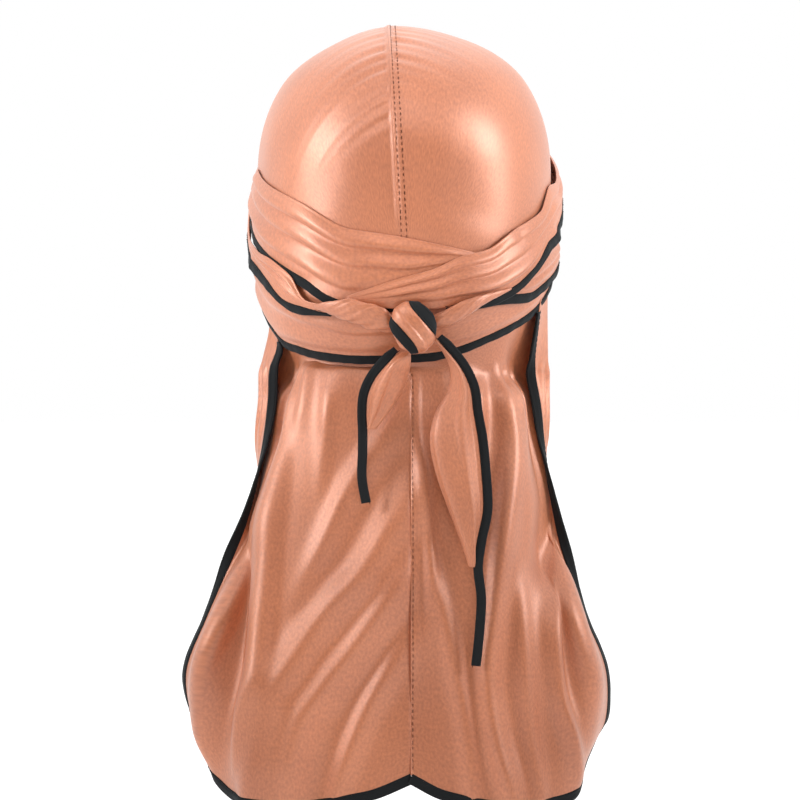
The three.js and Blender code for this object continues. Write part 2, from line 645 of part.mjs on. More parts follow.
function knotBand(from, to, steps, thickness) {
  const inner = [];
  const outer = [];
  for (let i = 0; i <= 14; i += 1) {
    const along = lerp(radians(-74), radians(74), i / 14);
    const row = Array.from({ length: steps + 1 }, (_, j) => lerp(from, to, j / steps));
    const low = layerGap + 0.15;
    inner.push(row.map((across) => knotPoint(along, across, low)));
    outer.push(row.map((across) => knotPoint(along, across, low + thickness)));
  }
  return wall(inner, outer);
}

// The strands: each tie drawn together beside the knot. Angles from the nape, depths as
// shares of wearDepth; width and rise are shares of strandWidth.
const strands = {
  left: [
    { angle: 5.4, depth: 0.862, width: 0.9, rise: 0.52 },
    { angle: 10, depth: 0.848, width: 1, rise: 0.5 },
    { angle: 15, depth: 0.834, width: 0.8, rise: 0.42 },
    { angle: 21, depth: 0.826, width: 0.5, rise: 0.3 },
    { angle: 27, depth: 0.822, width: 0.3, rise: 0.16 },
  ],
  right: [
    { angle: -29, depth: 0.782, width: 0.3, rise: 0.16 },
    { angle: -23, depth: 0.8, width: 0.55, rise: 0.3 },
    { angle: -18.5, depth: 0.817, width: 0.85, rise: 0.42 },
    { angle: -14, depth: 0.836, width: 1, rise: 0.5 },
    { angle: -9.9, depth: 0.853, width: 0.9, rise: 0.52 },
  ],
};

// A closed tube through oval sections; each lies across its own part of the path.
function tube(sections, sides) {
  const rings = sections.map(({ centre, across, out, width, rise }) =>
    Array.from({ length: sides }, (_, k) => {
      const turn = (2 * Math.PI * k) / sides;
      return centre
        .clone()
        .addScaledVector(across, (Math.cos(turn) * width) / 2)
        .addScaledVector(out, (Math.sin(turn) * rise) / 2);
    }),
  );
  const points = [...rings.flat(), sections[0].centre, sections.at(-1).centre];
  const corners = [];
  const ends = [rings.length * sides, rings.length * sides + 1];
  for (let k = 0; k < sides; k += 1) {
    const next = (k + 1) % sides;
    for (let i = 0; i < rings.length - 1; i += 1) {
      const [a, b] = [i * sides + k, i * sides + next];
      corners.push(a, b, b + sides, a, b + sides, a + sides);
    }
    const top = (rings.length - 1) * sides;
    corners.push(ends[0], next, k, ends[1], top + k, top + next);
  }
  const geometry = new THREE.BufferGeometry();
  const places = points.flatMap((point) => point.toArray());
  geometry.setAttribute("position", new THREE.Float32BufferAttribute(places, 3));
  geometry.setIndex(corners);
  return faceOut(geometry);
}

function strand(rows) {
  const names = ["depth", "width", "rise"];
  const curves = Object.fromEntries(names.map((name) => [name, column(rows, "angle", name)]));
  const steps = 8;
  const sections = Array.from({ length: steps + 1 }, (_, i) => {
    const degree = lerp(rows[0].angle, rows.at(-1).angle, i / steps);
    const depth = curves.depth(degree) * wearDepth;
    const width = curves.width(degree) * strandWidth;
    const rise = curves.rise(degree) * strandWidth;
    const off = lift(layers.length, degree, depth) + rise / 2 - layerGap / 2;
    const across = onHead(degree, depth + 1).sub(onHead(degree, depth - 1)).normalize();
    const out = onHead(degree, depth, 1).sub(onHead(degree, depth));
    return { centre: onHead(degree, depth, off), across, out, width, rise };
  });
  return tube(sections, 10);
}

// The loose ends. Each row is a level below the knot's centre, as a share of the end's length:
// the cloth's two edges and its middle (x in shares of endWidth, to the wearer's left), and how
// far each stands off the cape in shares of endWidth.
const looseEnds = {
  left: {
    length: leftEndLength,
    rows: [
      { fall: 0.14, tapeX: 0.23, midX: 0.13, freeX: 0.04, tapeY: 0.1, midY: 0.13, freeY: 0.13 },
      { fall: 0.2, tapeX: 0.41, midX: 0.26, freeX: 0.03, tapeY: 0.2, midY: 0.34, freeY: 0.2 },
      { fall: 0.29, tapeX: 0.63, midX: 0.4, freeX: 0.08, tapeY: 0.18, midY: 0.34, freeY: 0.16 },
      { fall: 0.38, tapeX: 0.75, midX: 0.52, freeX: 0.18, tapeY: 0.16, midY: 0.32, freeY: 0.14 },
      { fall: 0.48, tapeX: 0.78, midX: 0.62, freeX: 0.38, tapeY: 0.14, midY: 0.26, freeY: 0.14 },
      { fall: 0.58, tapeX: 0.77, midX: 0.74, freeX: 0.62, tapeY: 0.12, midY: 0.18, freeY: 0.12 },
    ],
  },
  right: {
    length: rightEndLength,
    rows: [
      { fall: 0.035, tapeX: -0.4, midX: -0.37, freeX: -0.335, tapeY: 0, midY: 0.02, freeY: 0.02 },
      { fall: 0.065, tapeX: -0.56, midX: -0.52, freeX: -0.48, tapeY: 0.1, midY: 0.18, freeY: 0.1 },
      { fall: 0.12, tapeX: -0.81, midX: -0.76, freeX: -0.62, tapeY: 0.2, midY: 0.32, freeY: 0.2 },
      { fall: 0.18, tapeX: -0.97, midX: -0.84, freeX: -0.6, tapeY: 0.2, midY: 0.38, freeY: 0.2 },
      { fall: 0.25, tapeX: -1.03, midX: -0.78, freeX: -0.38, tapeY: 0.18, midY: 0.38, freeY: 0.16 },
      { fall: 0.33, tapeX: -1.11, midX: -0.78, freeX: -0.29, tapeY: 0.16, midY: 0.36, freeY: 0.14 },
      { fall: 0.42, tapeX: -1.16, midX: -0.84, freeX: -0.37, tapeY: 0.16, midY: 0.34, freeY: 0.14 },
      { fall: 0.54, tapeX: -1.19, midX: -0.94, freeX: -0.6, tapeY: 0.14, midY: 0.3, freeY: 0.12 },
      { fall: 0.63, tapeX: -1.09, midX: -0.99, freeX: -0.8, tapeY: 0.12, midY: 0.22, freeY: 0.12 },
      { fall: 0.71, tapeX: -1.03, midX: -1.04, freeX: -0.96, tapeY: 0.12, midY: 0.14, freeY: 0.12 },
    ],
  },
};

// The tape of a loose end runs on past its cloth to a square cut tip.
const tapeTips = {
  left: [
    { fall: 0.72, x: 0.77 },
    { fall: 0.86, x: 0.78 },
    { fall: 1, x: 0.71 },
  ],
  right: [
    { fall: 0.8, x: -1.08 },
    { fall: 0.9, x: -1.05 },
    { fall: 1, x: -0.99 },
  ],
};

// How far back the loose ends hang: off the knot at the top, off the cape lower down.
const hang = [
  { fall: -0.06, y: 1.1 },
  { fall: 0, y: 0.99 },
  { fall: 0.06, y: 0.915 },
  { fall: 0.14, y: 0.86 },
  { fall: 0.3, y: 0.885 },
  { fall: 0.5, y: 0.935 },
  { fall: 0.75, y: 0.975 },
  { fall: 1, y: 1 },
];
const hangAt = column(hang, "fall", "y");

function hangPoint(fall, x, off, length) {
  const z = knotCentre.z - fall * length;
  const back = hangAt((-z - napeDepth) / capeFall) * headBack;
  return new THREE.Vector3(knotCentre.x + x * endWidth, back + off * endWidth, z);
}

function looseGrid({ length, rows }) {
  const steps = 14;
  const lines = ["tape", "mid", "free"].map((name) => {
    const points = rows.map((row) => hangPoint(row.fall, row[name + "X"], row[name + "Y"], length));
    return new THREE.CatmullRomCurve3(points, false, "centripetal");
  });
  return Array.from({ length: steps + 1 }, (_, i) => {
    const across = lines.map((line) => line.getPoint(i / steps));
    const curve = new THREE.CatmullRomCurve3(across, false, "centripetal");
    return [0, 0.17, 0.33, 0.5, 0.67, 0.83, 1].map((share) => curve.getPoint(share));
  });
}

// Tape down one edge of a loose end and on to its tip.
function looseTape(side, sign) {
  const end = looseEnds[side];
  const edge = end.rows.map((row) => ({ fall: row.fall, x: row.tapeX, off: row.tapeY }));
  const tips = tapeTips[side].map((row) => ({ ...row, off: edge.at(-1).off }));
  const points = [...edge, ...tips].map((row) => hangPoint(row.fall, row.x, row.off, end.length));
  const curve = new THREE.CatmullRomCurve3(points, false, "centripetal");
  const steps = 22;
  const inner = [];
  const outer = [];
  for (let i = 0; i <= steps; i += 1) {
    const point = curve.getPoint(i / steps);
    const along = curve.getTangent(i / steps);
    const out = new THREE.Vector3(0, 1, 0).cross(along).normalize().multiplyScalar(-sign);
    const normal = along.clone().cross(out).normalize();
    const near = point.clone().addScaledVector(out, 3 * seatGap);
    const far = near.clone().addScaledVector(out, 0.9 * tapeWidth);
    inner.push([near, far].map((at) => at.clone().addScaledVector(normal, -tapeThickness / 2)));
    outer.push([near, far].map((at) => at.clone().addScaledVector(normal, tapeThickness / 2)));
  }
  return wall(inner, outer);
}

const part = new THREE.Group();
const satin = new THREE.MeshStandardMaterial({ color: 0xe09a78, roughness: 0.38, metalness: 0 });
const tape = new THREE.MeshStandardMaterial({ color: 0x191c1e, roughness: 0.9, metalness: 0 });

function add(name, geometry, material) {
  const mesh = new THREE.Mesh(geometry, material.clone());
  mesh.name = name;
  part.add(mesh);
}

add("crown_left", crownPanel(1), satin);
add("crown_right", crownPanel(-1), satin);
for (const [side, sign] of [["left", 1], ["right", -1]]) {
  const grid = clearSeam(capeSurface(side), sign);
  add(`cape_${side}`, sheet(grid, sign, (points) => clearSeam(points, sign)), satin);
  add(`cape_binding_${side}`, capeTape(grid, sign), tape);
}
for (let order = 1; order < layers.length; order += 1) {
  add(layers[order].name, cloth(order), satin);
  add(`${layers[order].name}_binding`, bandTape(order), tape);
}
add("knot_core", knotCore(), satin);
add("knot_band", knotBand(-0.36, 0.5, 4, clothThickness), satin);
add("knot_binding_upper", knotBand(0.54, 0.82, 2, tapeThickness), tape);
add("knot_binding_lower", knotBand(-0.66, -0.4, 2, tapeThickness), tape);
for (const [side, sign] of [["left", 1], ["right", -1]]) {
  add(`strand_${side}`, strand(strands[side]), satin);
  add(`loose_end_${side}`, sheet(looseGrid(looseEnds[side]), -sign), satin);
  add(`loose_end_binding_${side}`, looseTape(side, sign), tape);
}

export default part;
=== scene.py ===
# %% [markdown]
# # A satin durag, tied as it is worn
# This lesson dresses a plain solid model of a tied durag as silky cloth. Metres, +Z up.
# The wearer faces -Y, so the knot is at +Y and the wearer's left is +X.

# %% The frame
import math

import bpy
import numpy as np
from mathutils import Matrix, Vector


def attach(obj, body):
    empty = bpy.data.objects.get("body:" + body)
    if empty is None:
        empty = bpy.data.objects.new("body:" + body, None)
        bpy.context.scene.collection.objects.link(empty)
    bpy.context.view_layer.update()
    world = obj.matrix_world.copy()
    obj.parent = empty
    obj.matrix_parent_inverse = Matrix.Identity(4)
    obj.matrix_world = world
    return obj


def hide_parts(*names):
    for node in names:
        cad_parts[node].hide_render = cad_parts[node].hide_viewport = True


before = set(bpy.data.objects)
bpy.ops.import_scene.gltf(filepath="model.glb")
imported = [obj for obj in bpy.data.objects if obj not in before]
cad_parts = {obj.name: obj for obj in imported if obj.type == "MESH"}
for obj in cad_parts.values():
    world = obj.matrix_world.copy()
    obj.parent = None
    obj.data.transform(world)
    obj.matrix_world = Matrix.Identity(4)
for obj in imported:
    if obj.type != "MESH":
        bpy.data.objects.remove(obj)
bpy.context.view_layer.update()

# %% [markdown]
# ## Sizes
# The sizes are in millimetres, as a maker would note them, and only the finished meshes
# are in metres. They follow the solids: the same form, the same depths for each wrap.

# %% Sizes
MM = 0.001
HEAD_BREADTH = 153.5
HEAD_BACK = 97
HEAD_FRONT = 96
NAPE_DEPTH = 176
CAPE_FALL = 229
CLOTH = 0.7
TAPE_WIDTH = 5.4
TAPE_THICK = 1.7
SIDES = {"left": 1, "right": -1}
print("head", HEAD_BREADTH, "mm wide, nape at", NAPE_DEPTH, "mm, cape", CAPE_FALL, "mm below it")

# %% [markdown]
# ## The form under the cloth
# Nothing under the cloth is shown, but tight cloth takes its shape. One formula gives the
# radius of a ring round that form at a depth below the top: rounder than an ellipse, domed
# above, and drawn in below. Every wrap is laid on it at its own height.


# %% The head's surface
RING_POWER = 2.25
DOME_POWER = 2.2
DOME_HEIGHT = 80
DRAW_START = 100
DRAW_SHARE = 0.45


def head_radius(angle, depth):
    rise = np.clip(depth / DOME_HEIGHT, 0, 1)
    dome = (1 - (1 - rise) ** DOME_POWER) ** (1 / DOME_POWER)
    draw = np.maximum(depth / DRAW_START - 1, 0)
    share = np.maximum(dome * (1 - DRAW_SHARE * draw**2.5), 1e-4)
    side = np.abs(np.sin(angle) / (HEAD_BREADTH / 2 * share))
    along = np.where(np.cos(angle) > 0, HEAD_BACK, HEAD_FRONT)
    end = np.abs(np.cos(angle) / (along * share))
    return (side**RING_POWER + end**RING_POWER) ** (-1 / RING_POWER)


def head_point(angle, depth):
    radius = head_radius(angle, depth)
    return np.stack([radius * np.sin(angle), radius * np.cos(angle), -depth + 0 * radius], -1)


def unit(vectors):
    return vectors / np.maximum(np.linalg.norm(vectors, axis=-1, keepdims=True), 1e-9)


def head_normal(degree, depth):
    angle = np.radians(degree)
    along = head_point(angle + 0.02, depth) - head_point(angle - 0.02, depth)
    down = head_point(angle, depth + 1) - head_point(angle, depth - 1)
    return unit(np.cross(along, down))


def on_head(degree, depth, off=0.0):
    degree, depth = np.broadcast_arrays(np.asarray(degree, float), np.asarray(depth, float))
    place = head_point(np.radians(degree), depth)
    return place + head_normal(degree, depth) * np.asarray(off)[..., None]


def smoothstep(x, low, high):
    t = np.clip((x - low) / (high - low), 0, 1)
    return t * t * (3 - 2 * t)


print("half breadth 100 mm down:", round(float(head_radius(math.pi / 2, 100.0)), 1), "mm")

# %% [markdown]
# ## Curves through tables
# The edges of the wraps and the lines of the folds are tables of a few rows. A smooth curve
# joins the rows and never swings past them, as the drawn edge of a cloth band does.


# %% Smooth curves
def steady(keys, values):
    """A smooth curve through rows that never overshoots them."""
    keys = np.asarray(keys, float)
    values = np.asarray(values, float)
    rate = np.diff(values) / np.diff(keys)
    slope = np.zeros_like(values)
    slope[0], slope[-1] = rate[0], rate[-1]
    both = rate[:-1] * rate[1:]
    slope[1:-1] = np.where(both > 0, 2 * both / (rate[:-1] + rate[1:] + 1e-12), 0)

    def curve(at):
        at = np.clip(np.asarray(at, float), keys[0], keys[-1])
        i = np.clip(np.searchsorted(keys, at) - 1, 0, len(keys) - 2)
        h = keys[i + 1] - keys[i]
        t = (at - keys[i]) / h
        return (
            (2 * t**3 - 3 * t**2 + 1) * values[i]
            + (t**3 - 2 * t**2 + t) * h * slope[i]
            + (3 * t**2 - 2 * t**3) * values[i + 1]
            + (t**3 - t**2) * h * slope[i + 1]
        )

    return curve


print("halfway from a row of 0 to a row of 2:", float(steady([0, 1, 2], [0, 2, 4])(0.5)))

# %% [markdown]
# ## The wraps, one over another
# The tie goes round three times: the nape wrap lies lowest, then one turn under
# the knot and one over it. Each row says at an angle from the nape how deep the upper and
# the lower edge lie. Every layer is lifted by the ones below it, so no cloth cuts another.

# %% The wraps' edges
NAPE_WRAP = [
    (-180, 68, 86), (-150, 72, 90), (-120, 82, 98), (-105, 90, 104), (-90, 99, 113),
    (-70, 118, 132), (-53, 129, 148), (-40, 134, 156), (-31, 139, 161), (-20, 143, 167),
    (-10, 146, 170.5), (0, 147, 171.5), (15, 147, 172), (33, 144, 170), (45, 137, 167),
    (56, 129, 164), (70, 120, 151), (80, 112, 137), (90, 103, 122), (105, 93, 108),
    (120, 84, 100), (150, 73, 91), (180, 68, 86),
]
WRAP_UNDER = [
    (-30, 127, 131), (-22.5, 124.5, 132), (-15, 122, 134), (-7.5, 119.5, 140),
    (0, 117, 146), (15, 113, 146.5), (23, 111, 143), (31, 108.5, 136), (41, 103, 129),
    (51, 98, 122.5), (64, 91.5, 114), (75, 85.5, 107), (90, 77, 96), (105, 69, 87),
    (120, 62, 80), (150, 53, 73), (180, 47, 69), (210, 57, 78), (240, 73, 93),
    (255, 81, 101), (270, 89, 108), (283, 99, 118), (295, 108, 128), (308, 117, 136),
    (317, 124, 141), (330, 138.5, 142.5), (345, 142, 147),
]
WRAP_OVER = [
    (-337.5, 147.8, 149), (-330, 146, 147.5), (-322, 133.5, 145), (-311, 125, 135),
    (-302, 121.6, 128.5), (-295, 117.8, 124), (-285, 113.6, 118.5), (-274, 103.8, 110.5),
    (-255, 86, 99), (-240, 75, 91), (-210, 58, 79), (-180, 47, 69), (-150, 51, 72),
    (-120, 60, 77), (-105, 69, 83), (-90, 77, 90), (-77, 84, 99), (-65, 87, 107),
    (-58, 94, 112), (-52, 101, 116), (-43, 107, 127), (-33, 114, 138), (-25, 122, 143),
    (-16, 126, 145.5), (-8, 132, 147), (2, 136.5, 147), (10, 140.5, 146), (17, 144, 145.5),
]
RING_LENGTH = math.pi * HEAD_BREADTH / 360
BASE_LIFT = 1.6
REACH = 11
FALL = 11


def layer(name, rows, rise, first=None, last=None, tuck=None):
    angles, tops, bottoms = zip(*rows)
    bottom = steady(angles, bottoms)
    top = steady(angles, tops) if tuck is None else lambda at: bottom(at) - tuck
    first = angles[0] if first is None else first
    last = angles[-1] if last is None else last
    return {"name": name, "top": top, "bottom": bottom, "rise": rise, "first": first, "last": last}


LAYERS = [
    layer("cape", NAPE_WRAP, 2.7, -60, 66, tuck=14),
    layer("nape_wrap", NAPE_WRAP, 2.1),
    layer("wrap_under", WRAP_UNDER, 2.1),
    layer("wrap_over", WRAP_OVER, 2.1),
]


def closeness(item, degree, depth, reach, fall):
    most = 0
    for turn in (-360, 0, 360):
        at = degree + turn
        held = np.clip(at, item["first"], item["last"])
        below = depth - item["bottom"](held) - TAPE_WIDTH
        beyond = np.maximum(np.maximum(item["top"](held) - depth, below), 0)
        away = np.hypot(beyond, (at - held) * RING_LENGTH)
        most = np.maximum(most, 1 - smoothstep(away, reach, reach + fall))
    return most


def lift(order, degree, depth):
    degree, depth = np.broadcast_arrays(np.asarray(degree, float), np.asarray(depth, float))
    total = np.full(degree.shape, BASE_LIFT)
    for item in LAYERS[:order]:
        total = total + item["rise"] * closeness(item, degree, depth, REACH, FALL)
    return total


def hidden(order, degree, depth):
    """How far later layers cover a place: 1 well under them, 0 in the open."""
    most = np.zeros(np.broadcast(degree, depth).shape)
    for item in LAYERS[order + 1 :]:
        most = np.maximum(most, closeness(item, degree, depth, 0, 5))
    return most


print("lift of the outer wrap at the nape:", round(float(lift(3, 0.0, 140.0)), 2), "mm")

# %% [markdown]
# ## Satin and tape
# Satin floats its yarns over one another along one direction, so its shine is a soft band
# that breaks over every fold. A thin coat and a little sheen over a half rough base give
# that; a plain glossy shader would look like plastic. The tape is matte and nearly black.


# %% Colours and finishes
SATIN_DEEP = (0.355, 0.09, 0.025, 1)
SATIN_PALE = (0.575, 0.174, 0.061, 1)
THREAD = (0.4, 0.1, 0.045, 1)
SATIN_FINISH = {
    "Metallic": 0.15, "Roughness": 0.45, "Specular IOR Level": 1.0, "Anisotropic": 0.5,
    "Specular Tint": (1, 0.95, 0.91, 1), "Coat Weight": 0.55, "Coat Roughness": 0.53,
    "Coat IOR": 1.6, "Sheen Weight": 0.18, "Sheen Roughness": 0.5,
    "Sheen Tint": (1, 0.92, 0.9, 1),
}
TAPE_FINISH = {
    "Base Color": (0.0065, 0.0075, 0.0085, 1), "Roughness": 0.85, "Specular IOR Level": 0.25,
    "Sheen Weight": 0.08, "Sheen Roughness": 0.4, "Sheen Tint": (0.7, 0.8, 0.85, 1),
}
print("roughness of satin and tape:", SATIN_FINISH["Roughness"], TAPE_FINISH["Roughness"])

# %% [markdown]
# ## Helpers for the materials
# Each material is one shader with a few textures before it. These helpers set inputs by
# their names and add one noise or one bump, so each cloth's own cell shows only what makes
# it that cloth.


# %% Shader helpers
def set_inputs(node, values):
    for name, value in values.items():
        node.inputs[name].default_value = value
    return node


def new_material(name, finish):
    material = bpy.data.materials.new(name)
    material.use_nodes = True
    nodes, links = material.node_tree.nodes, material.node_tree.links
    nodes.clear()
    shader = set_inputs(nodes.new("ShaderNodeBsdfPrincipled"), finish)
    output = nodes.new("ShaderNodeOutputMaterial")
    links.new(shader.outputs["BSDF"], output.inputs["Surface"])
    return material, nodes, links, shader


def flat_place(nodes):
    """The cloth's own flat coordinates, in metres of the cut."""
    flat = nodes.new("ShaderNodeUVMap")
    flat.uv_map = "flat"
    return flat.outputs["UV"]


def add_noise(nodes, links, source, scale, detail, stretch):
    mapping = set_inputs(nodes.new("ShaderNodeMapping"), {"Scale": stretch})
    noise = set_inputs(nodes.new("ShaderNodeTexNoise"), {"Scale": scale, "Detail": detail})
    links.new(source, mapping.inputs["Vector"])
    links.new(mapping.outputs["Vector"], noise.inputs["Vector"])
    return noise.outputs["Fac"]


def add_bump(nodes, links, height, distance, strength, normal=None):
    bump = set_inputs(nodes.new("ShaderNodeBump"), {"Distance": distance, "Strength": strength})
    links.new(height, bump.inputs["Height"])
    if normal is not None:
        links.new(normal, bump.inputs["Normal"])
    return bump.outputs["Normal"]


print("helpers for inputs, noises and bumps are ready")

# %% [markdown]
# ## The satin
# A soft cloud and a fine grain choose between a deep and a pale coral, because real satin
# is never one colour. Creases and the weave are bumps, and they use the flat coordinates so
# that they run with the cloth. The tangent follows the cut too, and draws the shine out.


# %% Satin
def satin_material(name, deep, pale):
    material, nodes, links, shader = new_material(name, SATIN_FINISH)
    place = nodes.new("ShaderNodeTexCoord").outputs["Object"]
    flat = flat_place(nodes)
    blend = set_inputs(nodes.new("ShaderNodeMix"), {"Factor": 0.55})
    links.new(add_noise(nodes, links, place, 18, 2, (1, 1, 1)), blend.inputs["A"])
    links.new(add_noise(nodes, links, flat, 800, 1, (1, 0.6, 1)), blend.inputs["B"])
    ramp = nodes.new("ShaderNodeValToRGB")
    for stop, share, colour in zip(ramp.color_ramp.elements, (0.3, 0.7), (deep, pale)):
        stop.position = share
        stop.color = colour
    links.new(blend.outputs["Result"], ramp.inputs["Fac"])
    links.new(ramp.outputs["Color"], shader.inputs["Base Color"])
    crease = add_noise(nodes, links, flat, 40, 2, (1.5, 0.4, 1))
    fine = add_noise(nodes, links, flat, 900, 1, (1, 0.7, 1))
    normal = add_bump(nodes, links, crease, 0.001, 0.25)
    links.new(add_bump(nodes, links, fine, 0.0002, 0.35, normal), shader.inputs["Normal"])
    tangent = nodes.new("ShaderNodeTangent")
    tangent.direction_type = "UV_MAP"
    tangent.uv_map = "flat"
    links.new(tangent.outputs["Tangent"], shader.inputs["Tangent"])
    return material


satin = satin_material("satin_cloth", SATIN_DEEP, SATIN_PALE)
thread = satin_material("satin_thread", THREAD, THREAD)
print("materials:", satin.name, thread.name)

# %% [markdown]
# ## The tape's ribbon
# The black tape is a ribbed ribbon without shine. A wave texture across its flat
# coordinates gives the ribs, which catch only a little light.


# %% Ribbon
def tape_material():
    material, nodes, links, shader = new_material("binding_tape", TAPE_FINISH)
    weave = set_inputs(nodes.new("ShaderNodeTexWave"), {"Scale": 210, "Distortion": 1.2})
    links.new(flat_place(nodes), weave.inputs["Vector"])
    links.new(add_bump(nodes, links, weave.outputs["Fac"], 0.0003, 0.5), shader.inputs["Normal"])
    return material


binding = tape_material()
print("material:", binding.name)

# %% [markdown]
# ## Cloth as a closed shell
# A sheet is a grid of points through the middle of the cloth. Both faces are offset along
# its own normal and joined round the edge. The flat coordinates keep the cut's sizes, so
# creases and shine run with the cloth. A Solidify modifier would give a wall too, but not
# coordinates that are known at every corner.


# %% Shells
MIDDLE = np.array([0.0, 0.0, -100.0])


def grid_normal(grid, closed=False):
    if closed:
        along = np.roll(grid, -1, 0) - np.roll(grid, 1, 0)
    else:
        along = np.gradient(grid, axis=0)
    normal = unit(np.cross(along, np.gradient(grid, axis=1)))
    out = grid - MIDDLE
    return normal if (normal * out).sum() > 0 else -normal


def lengths(points):
    steps = np.linalg.norm(np.diff(points, axis=0), axis=1)
    return np.concatenate([[0], np.cumsum(steps)])


def add_object(name, data):
    made = bpy.data.objects.new(name, data)
    bpy.context.scene.collection.objects.link(made)
    return made


def add_piece(name, mesh):
    """A piece of the cover: it rides on the one body."""
    piece = add_object(name, mesh)
    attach(piece, "root")
    return piece


def make_mesh(node, points, faces, uvs, flat_faces, material):
    """The piece that stands for a node, from lists of corners and their flat coordinates. The
    last flat_faces aren't shaded smooth."""
    quads = np.array([face for face in faces if len(face) == 4])
    a, b, c, d = (points[quads[:, k]] for k in range(4))
    volume = (a * np.cross(b, c)).sum() + (a * np.cross(c, d)).sum()
    if volume < 0:
        faces = [face[::-1] for face in faces]
        uvs = [corners[::-1] for corners in uvs]
    name = f"{node}_satin" if material is satin else node.replace("binding", "tape")
    mesh = bpy.data.meshes.new(name)
    mesh.from_pydata((points * MM).tolist(), [], faces)
    flat = np.concatenate([np.asarray(corners, float) for corners in uvs])
    mesh.uv_layers.new(name="flat").data.foreach_set("uv", (flat * MM).ravel())
    smooth = np.ones(len(faces), bool)
    smooth[len(faces) - flat_faces :] = False
    mesh.polygons.foreach_set("use_smooth", smooth)
    mesh.materials.append(material)
    mesh.update()
    piece = add_piece(name, mesh)
    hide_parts(node)
    return piece


def loft(name, ring, flat, along, closed, material, zipped=False):
    """Joins rings of points. An open loft is closed at both ends: zipped for a thin sheet,
    or with one flat face for a tube."""
    rows, sides = ring.shape[:2]
    i, k = np.meshgrid(np.arange(rows if closed else rows - 1), np.arange(sides), indexing="ij")
    i, k = i.ravel(), k.ravel()
    after, beside = (i + 1) % rows, (k + 1) % sides
    low, high = i * sides, after * sides
    quads = np.stack([low + k, low + beside, high + beside, high + k], 1)
    u0, u1 = flat[k], flat[k + 1]
    v0, v1 = along[i], along[i + 1]
    uvs = np.stack([np.stack(pair, -1) for pair in ((u0, v0), (u1, v0), (u1, v1), (u0, v1))], 1)
    faces, uvs, flat_faces = quads.tolist(), uvs.tolist(), 0
    if not closed:
        columns = sides // 2 - 1
        for row in (0, rows - 1):
            ends = [[[0, sides - 2, sides - 1], [columns - 1, columns, columns + 1]]]
            ends += [[[j, j + 1, sides - 3 - j, sides - 2 - j] for j in range(columns - 1)]]
            caps = sum(ends, []) if zipped else [list(range(sides))]
            for cap in caps:
                corners = cap if row else cap[::-1]
                faces.append([row * sides + corner for corner in corners])
                uvs.append([[flat[corner], along[row]] for corner in corners])
        flat_faces = 0 if zipped else 2
    return make_mesh(name, ring.reshape(-1, 3), faces, uvs, flat_faces, material)


def shell(name, grid, thickness=CLOTH, closed=False):
    """A closed sheet of satin about a grid of middle points, in millimetres."""
    rows, columns = grid.shape[:2]
    normal = grid_normal(grid, closed)
    half = thickness / 2
    outer, inner = grid + normal * half, grid - normal * half
    start = grid[:, :1] + unit(grid[:, :1] - grid[:, 1:2]) * half
    end = grid[:, -1:] + unit(grid[:, -1:] - grid[:, -2:-1]) * half
    ring = np.concatenate([outer, end, inner[:, ::-1], start], axis=1)
    across = lengths(grid[rows // 2])
    flat = np.concatenate([across, across[-1:], across[::-1], across[:1], across[:1]])
    line = grid[:, columns // 2]
    along = lengths(np.concatenate([line, line[:1]]))
    cells = np.cross(grid[1:, :-1] - grid[:-1, :-1], grid[:-1, 1:] - grid[:-1, :-1])
    area = np.linalg.norm(cells, axis=-1).sum() * MM * MM
    print(f"{name}: {along[rows - 1]:.0f} x {across[-1]:.0f} mm, {area:.5f} m2")
    return loft(name, ring, flat, along, closed, satin, zipped=True)


print("a sheet is", CLOTH, "mm thick")

# %% [markdown]
# ## Tape round an edge
# The real binding is a ribbon folded in half over the raw edge and sewn through. From
# outside it is a soft flat tube, thicker than the cloth, so a flattened section is carried
# along the edge, with small puckers where the thread draws it in.

# %% Tapes
SECTION = 14
FLATTEN = (0.45, 0.6)
PUCKER = 0.13
PUCKER_WAVES = (1.9, 3.7, 8.3)


def tape(name, centre, across, normal, width=TAPE_WIDTH, thick=TAPE_THICK, closed=False):
    """A folded tape round an edge: a flat rounded tube along a line of centres."""
    turn = np.linspace(0, 2 * np.pi, SECTION, endpoint=False)
    wide = np.sign(np.cos(turn)) * np.abs(np.cos(turn)) ** FLATTEN[0]
    high = np.sign(np.sin(turn)) * np.abs(np.sin(turn)) ** FLATTEN[1]
    line = lengths(centre)
    rng = np.random.default_rng(len(name))
    phase = rng.uniform(0, 2 * np.pi, 3)
    pucker = sum(np.sin(line / gap + at) for gap, at in zip(PUCKER_WAVES, phase)) / 3
    half_wide = wide * np.broadcast_to(width, line.shape)[:, None] / 2
    half_high = high * (thick * (1 + PUCKER * pucker))[:, None] / 2
    ring = centre[:, None] + unit(across)[:, None] * half_wide[..., None]
    ring = ring + unit(normal)[:, None] * half_high[..., None]
    flat = np.linspace(0, 2 * TAPE_WIDTH + 2 * TAPE_THICK, SECTION + 1)
    along = lengths(np.concatenate([centre, centre[:1]]))
    return loft(name, ring, flat, along, closed, binding)


def taper(line, first, last, over=6.0):
    """1 along a line of points, easing to first and last over its ends."""
    run = lengths(line)
    start = first + (1 - first) * smoothstep(run, 0, over)
    return start * (last + (1 - last) * smoothstep(run[-1] - run, 0, over))


print("a tape is", TAPE_WIDTH, "mm wide and its section has", SECTION, "corners")

# %% [markdown]
# ## Folds of drawn cloth
# Cloth that is pulled along its length bunches into long round ridges with sharp valleys
# between them. They wander, grow and die away along the band. One function gives their
# height across a band, and every wrap, strand and loose end uses it with its own count.


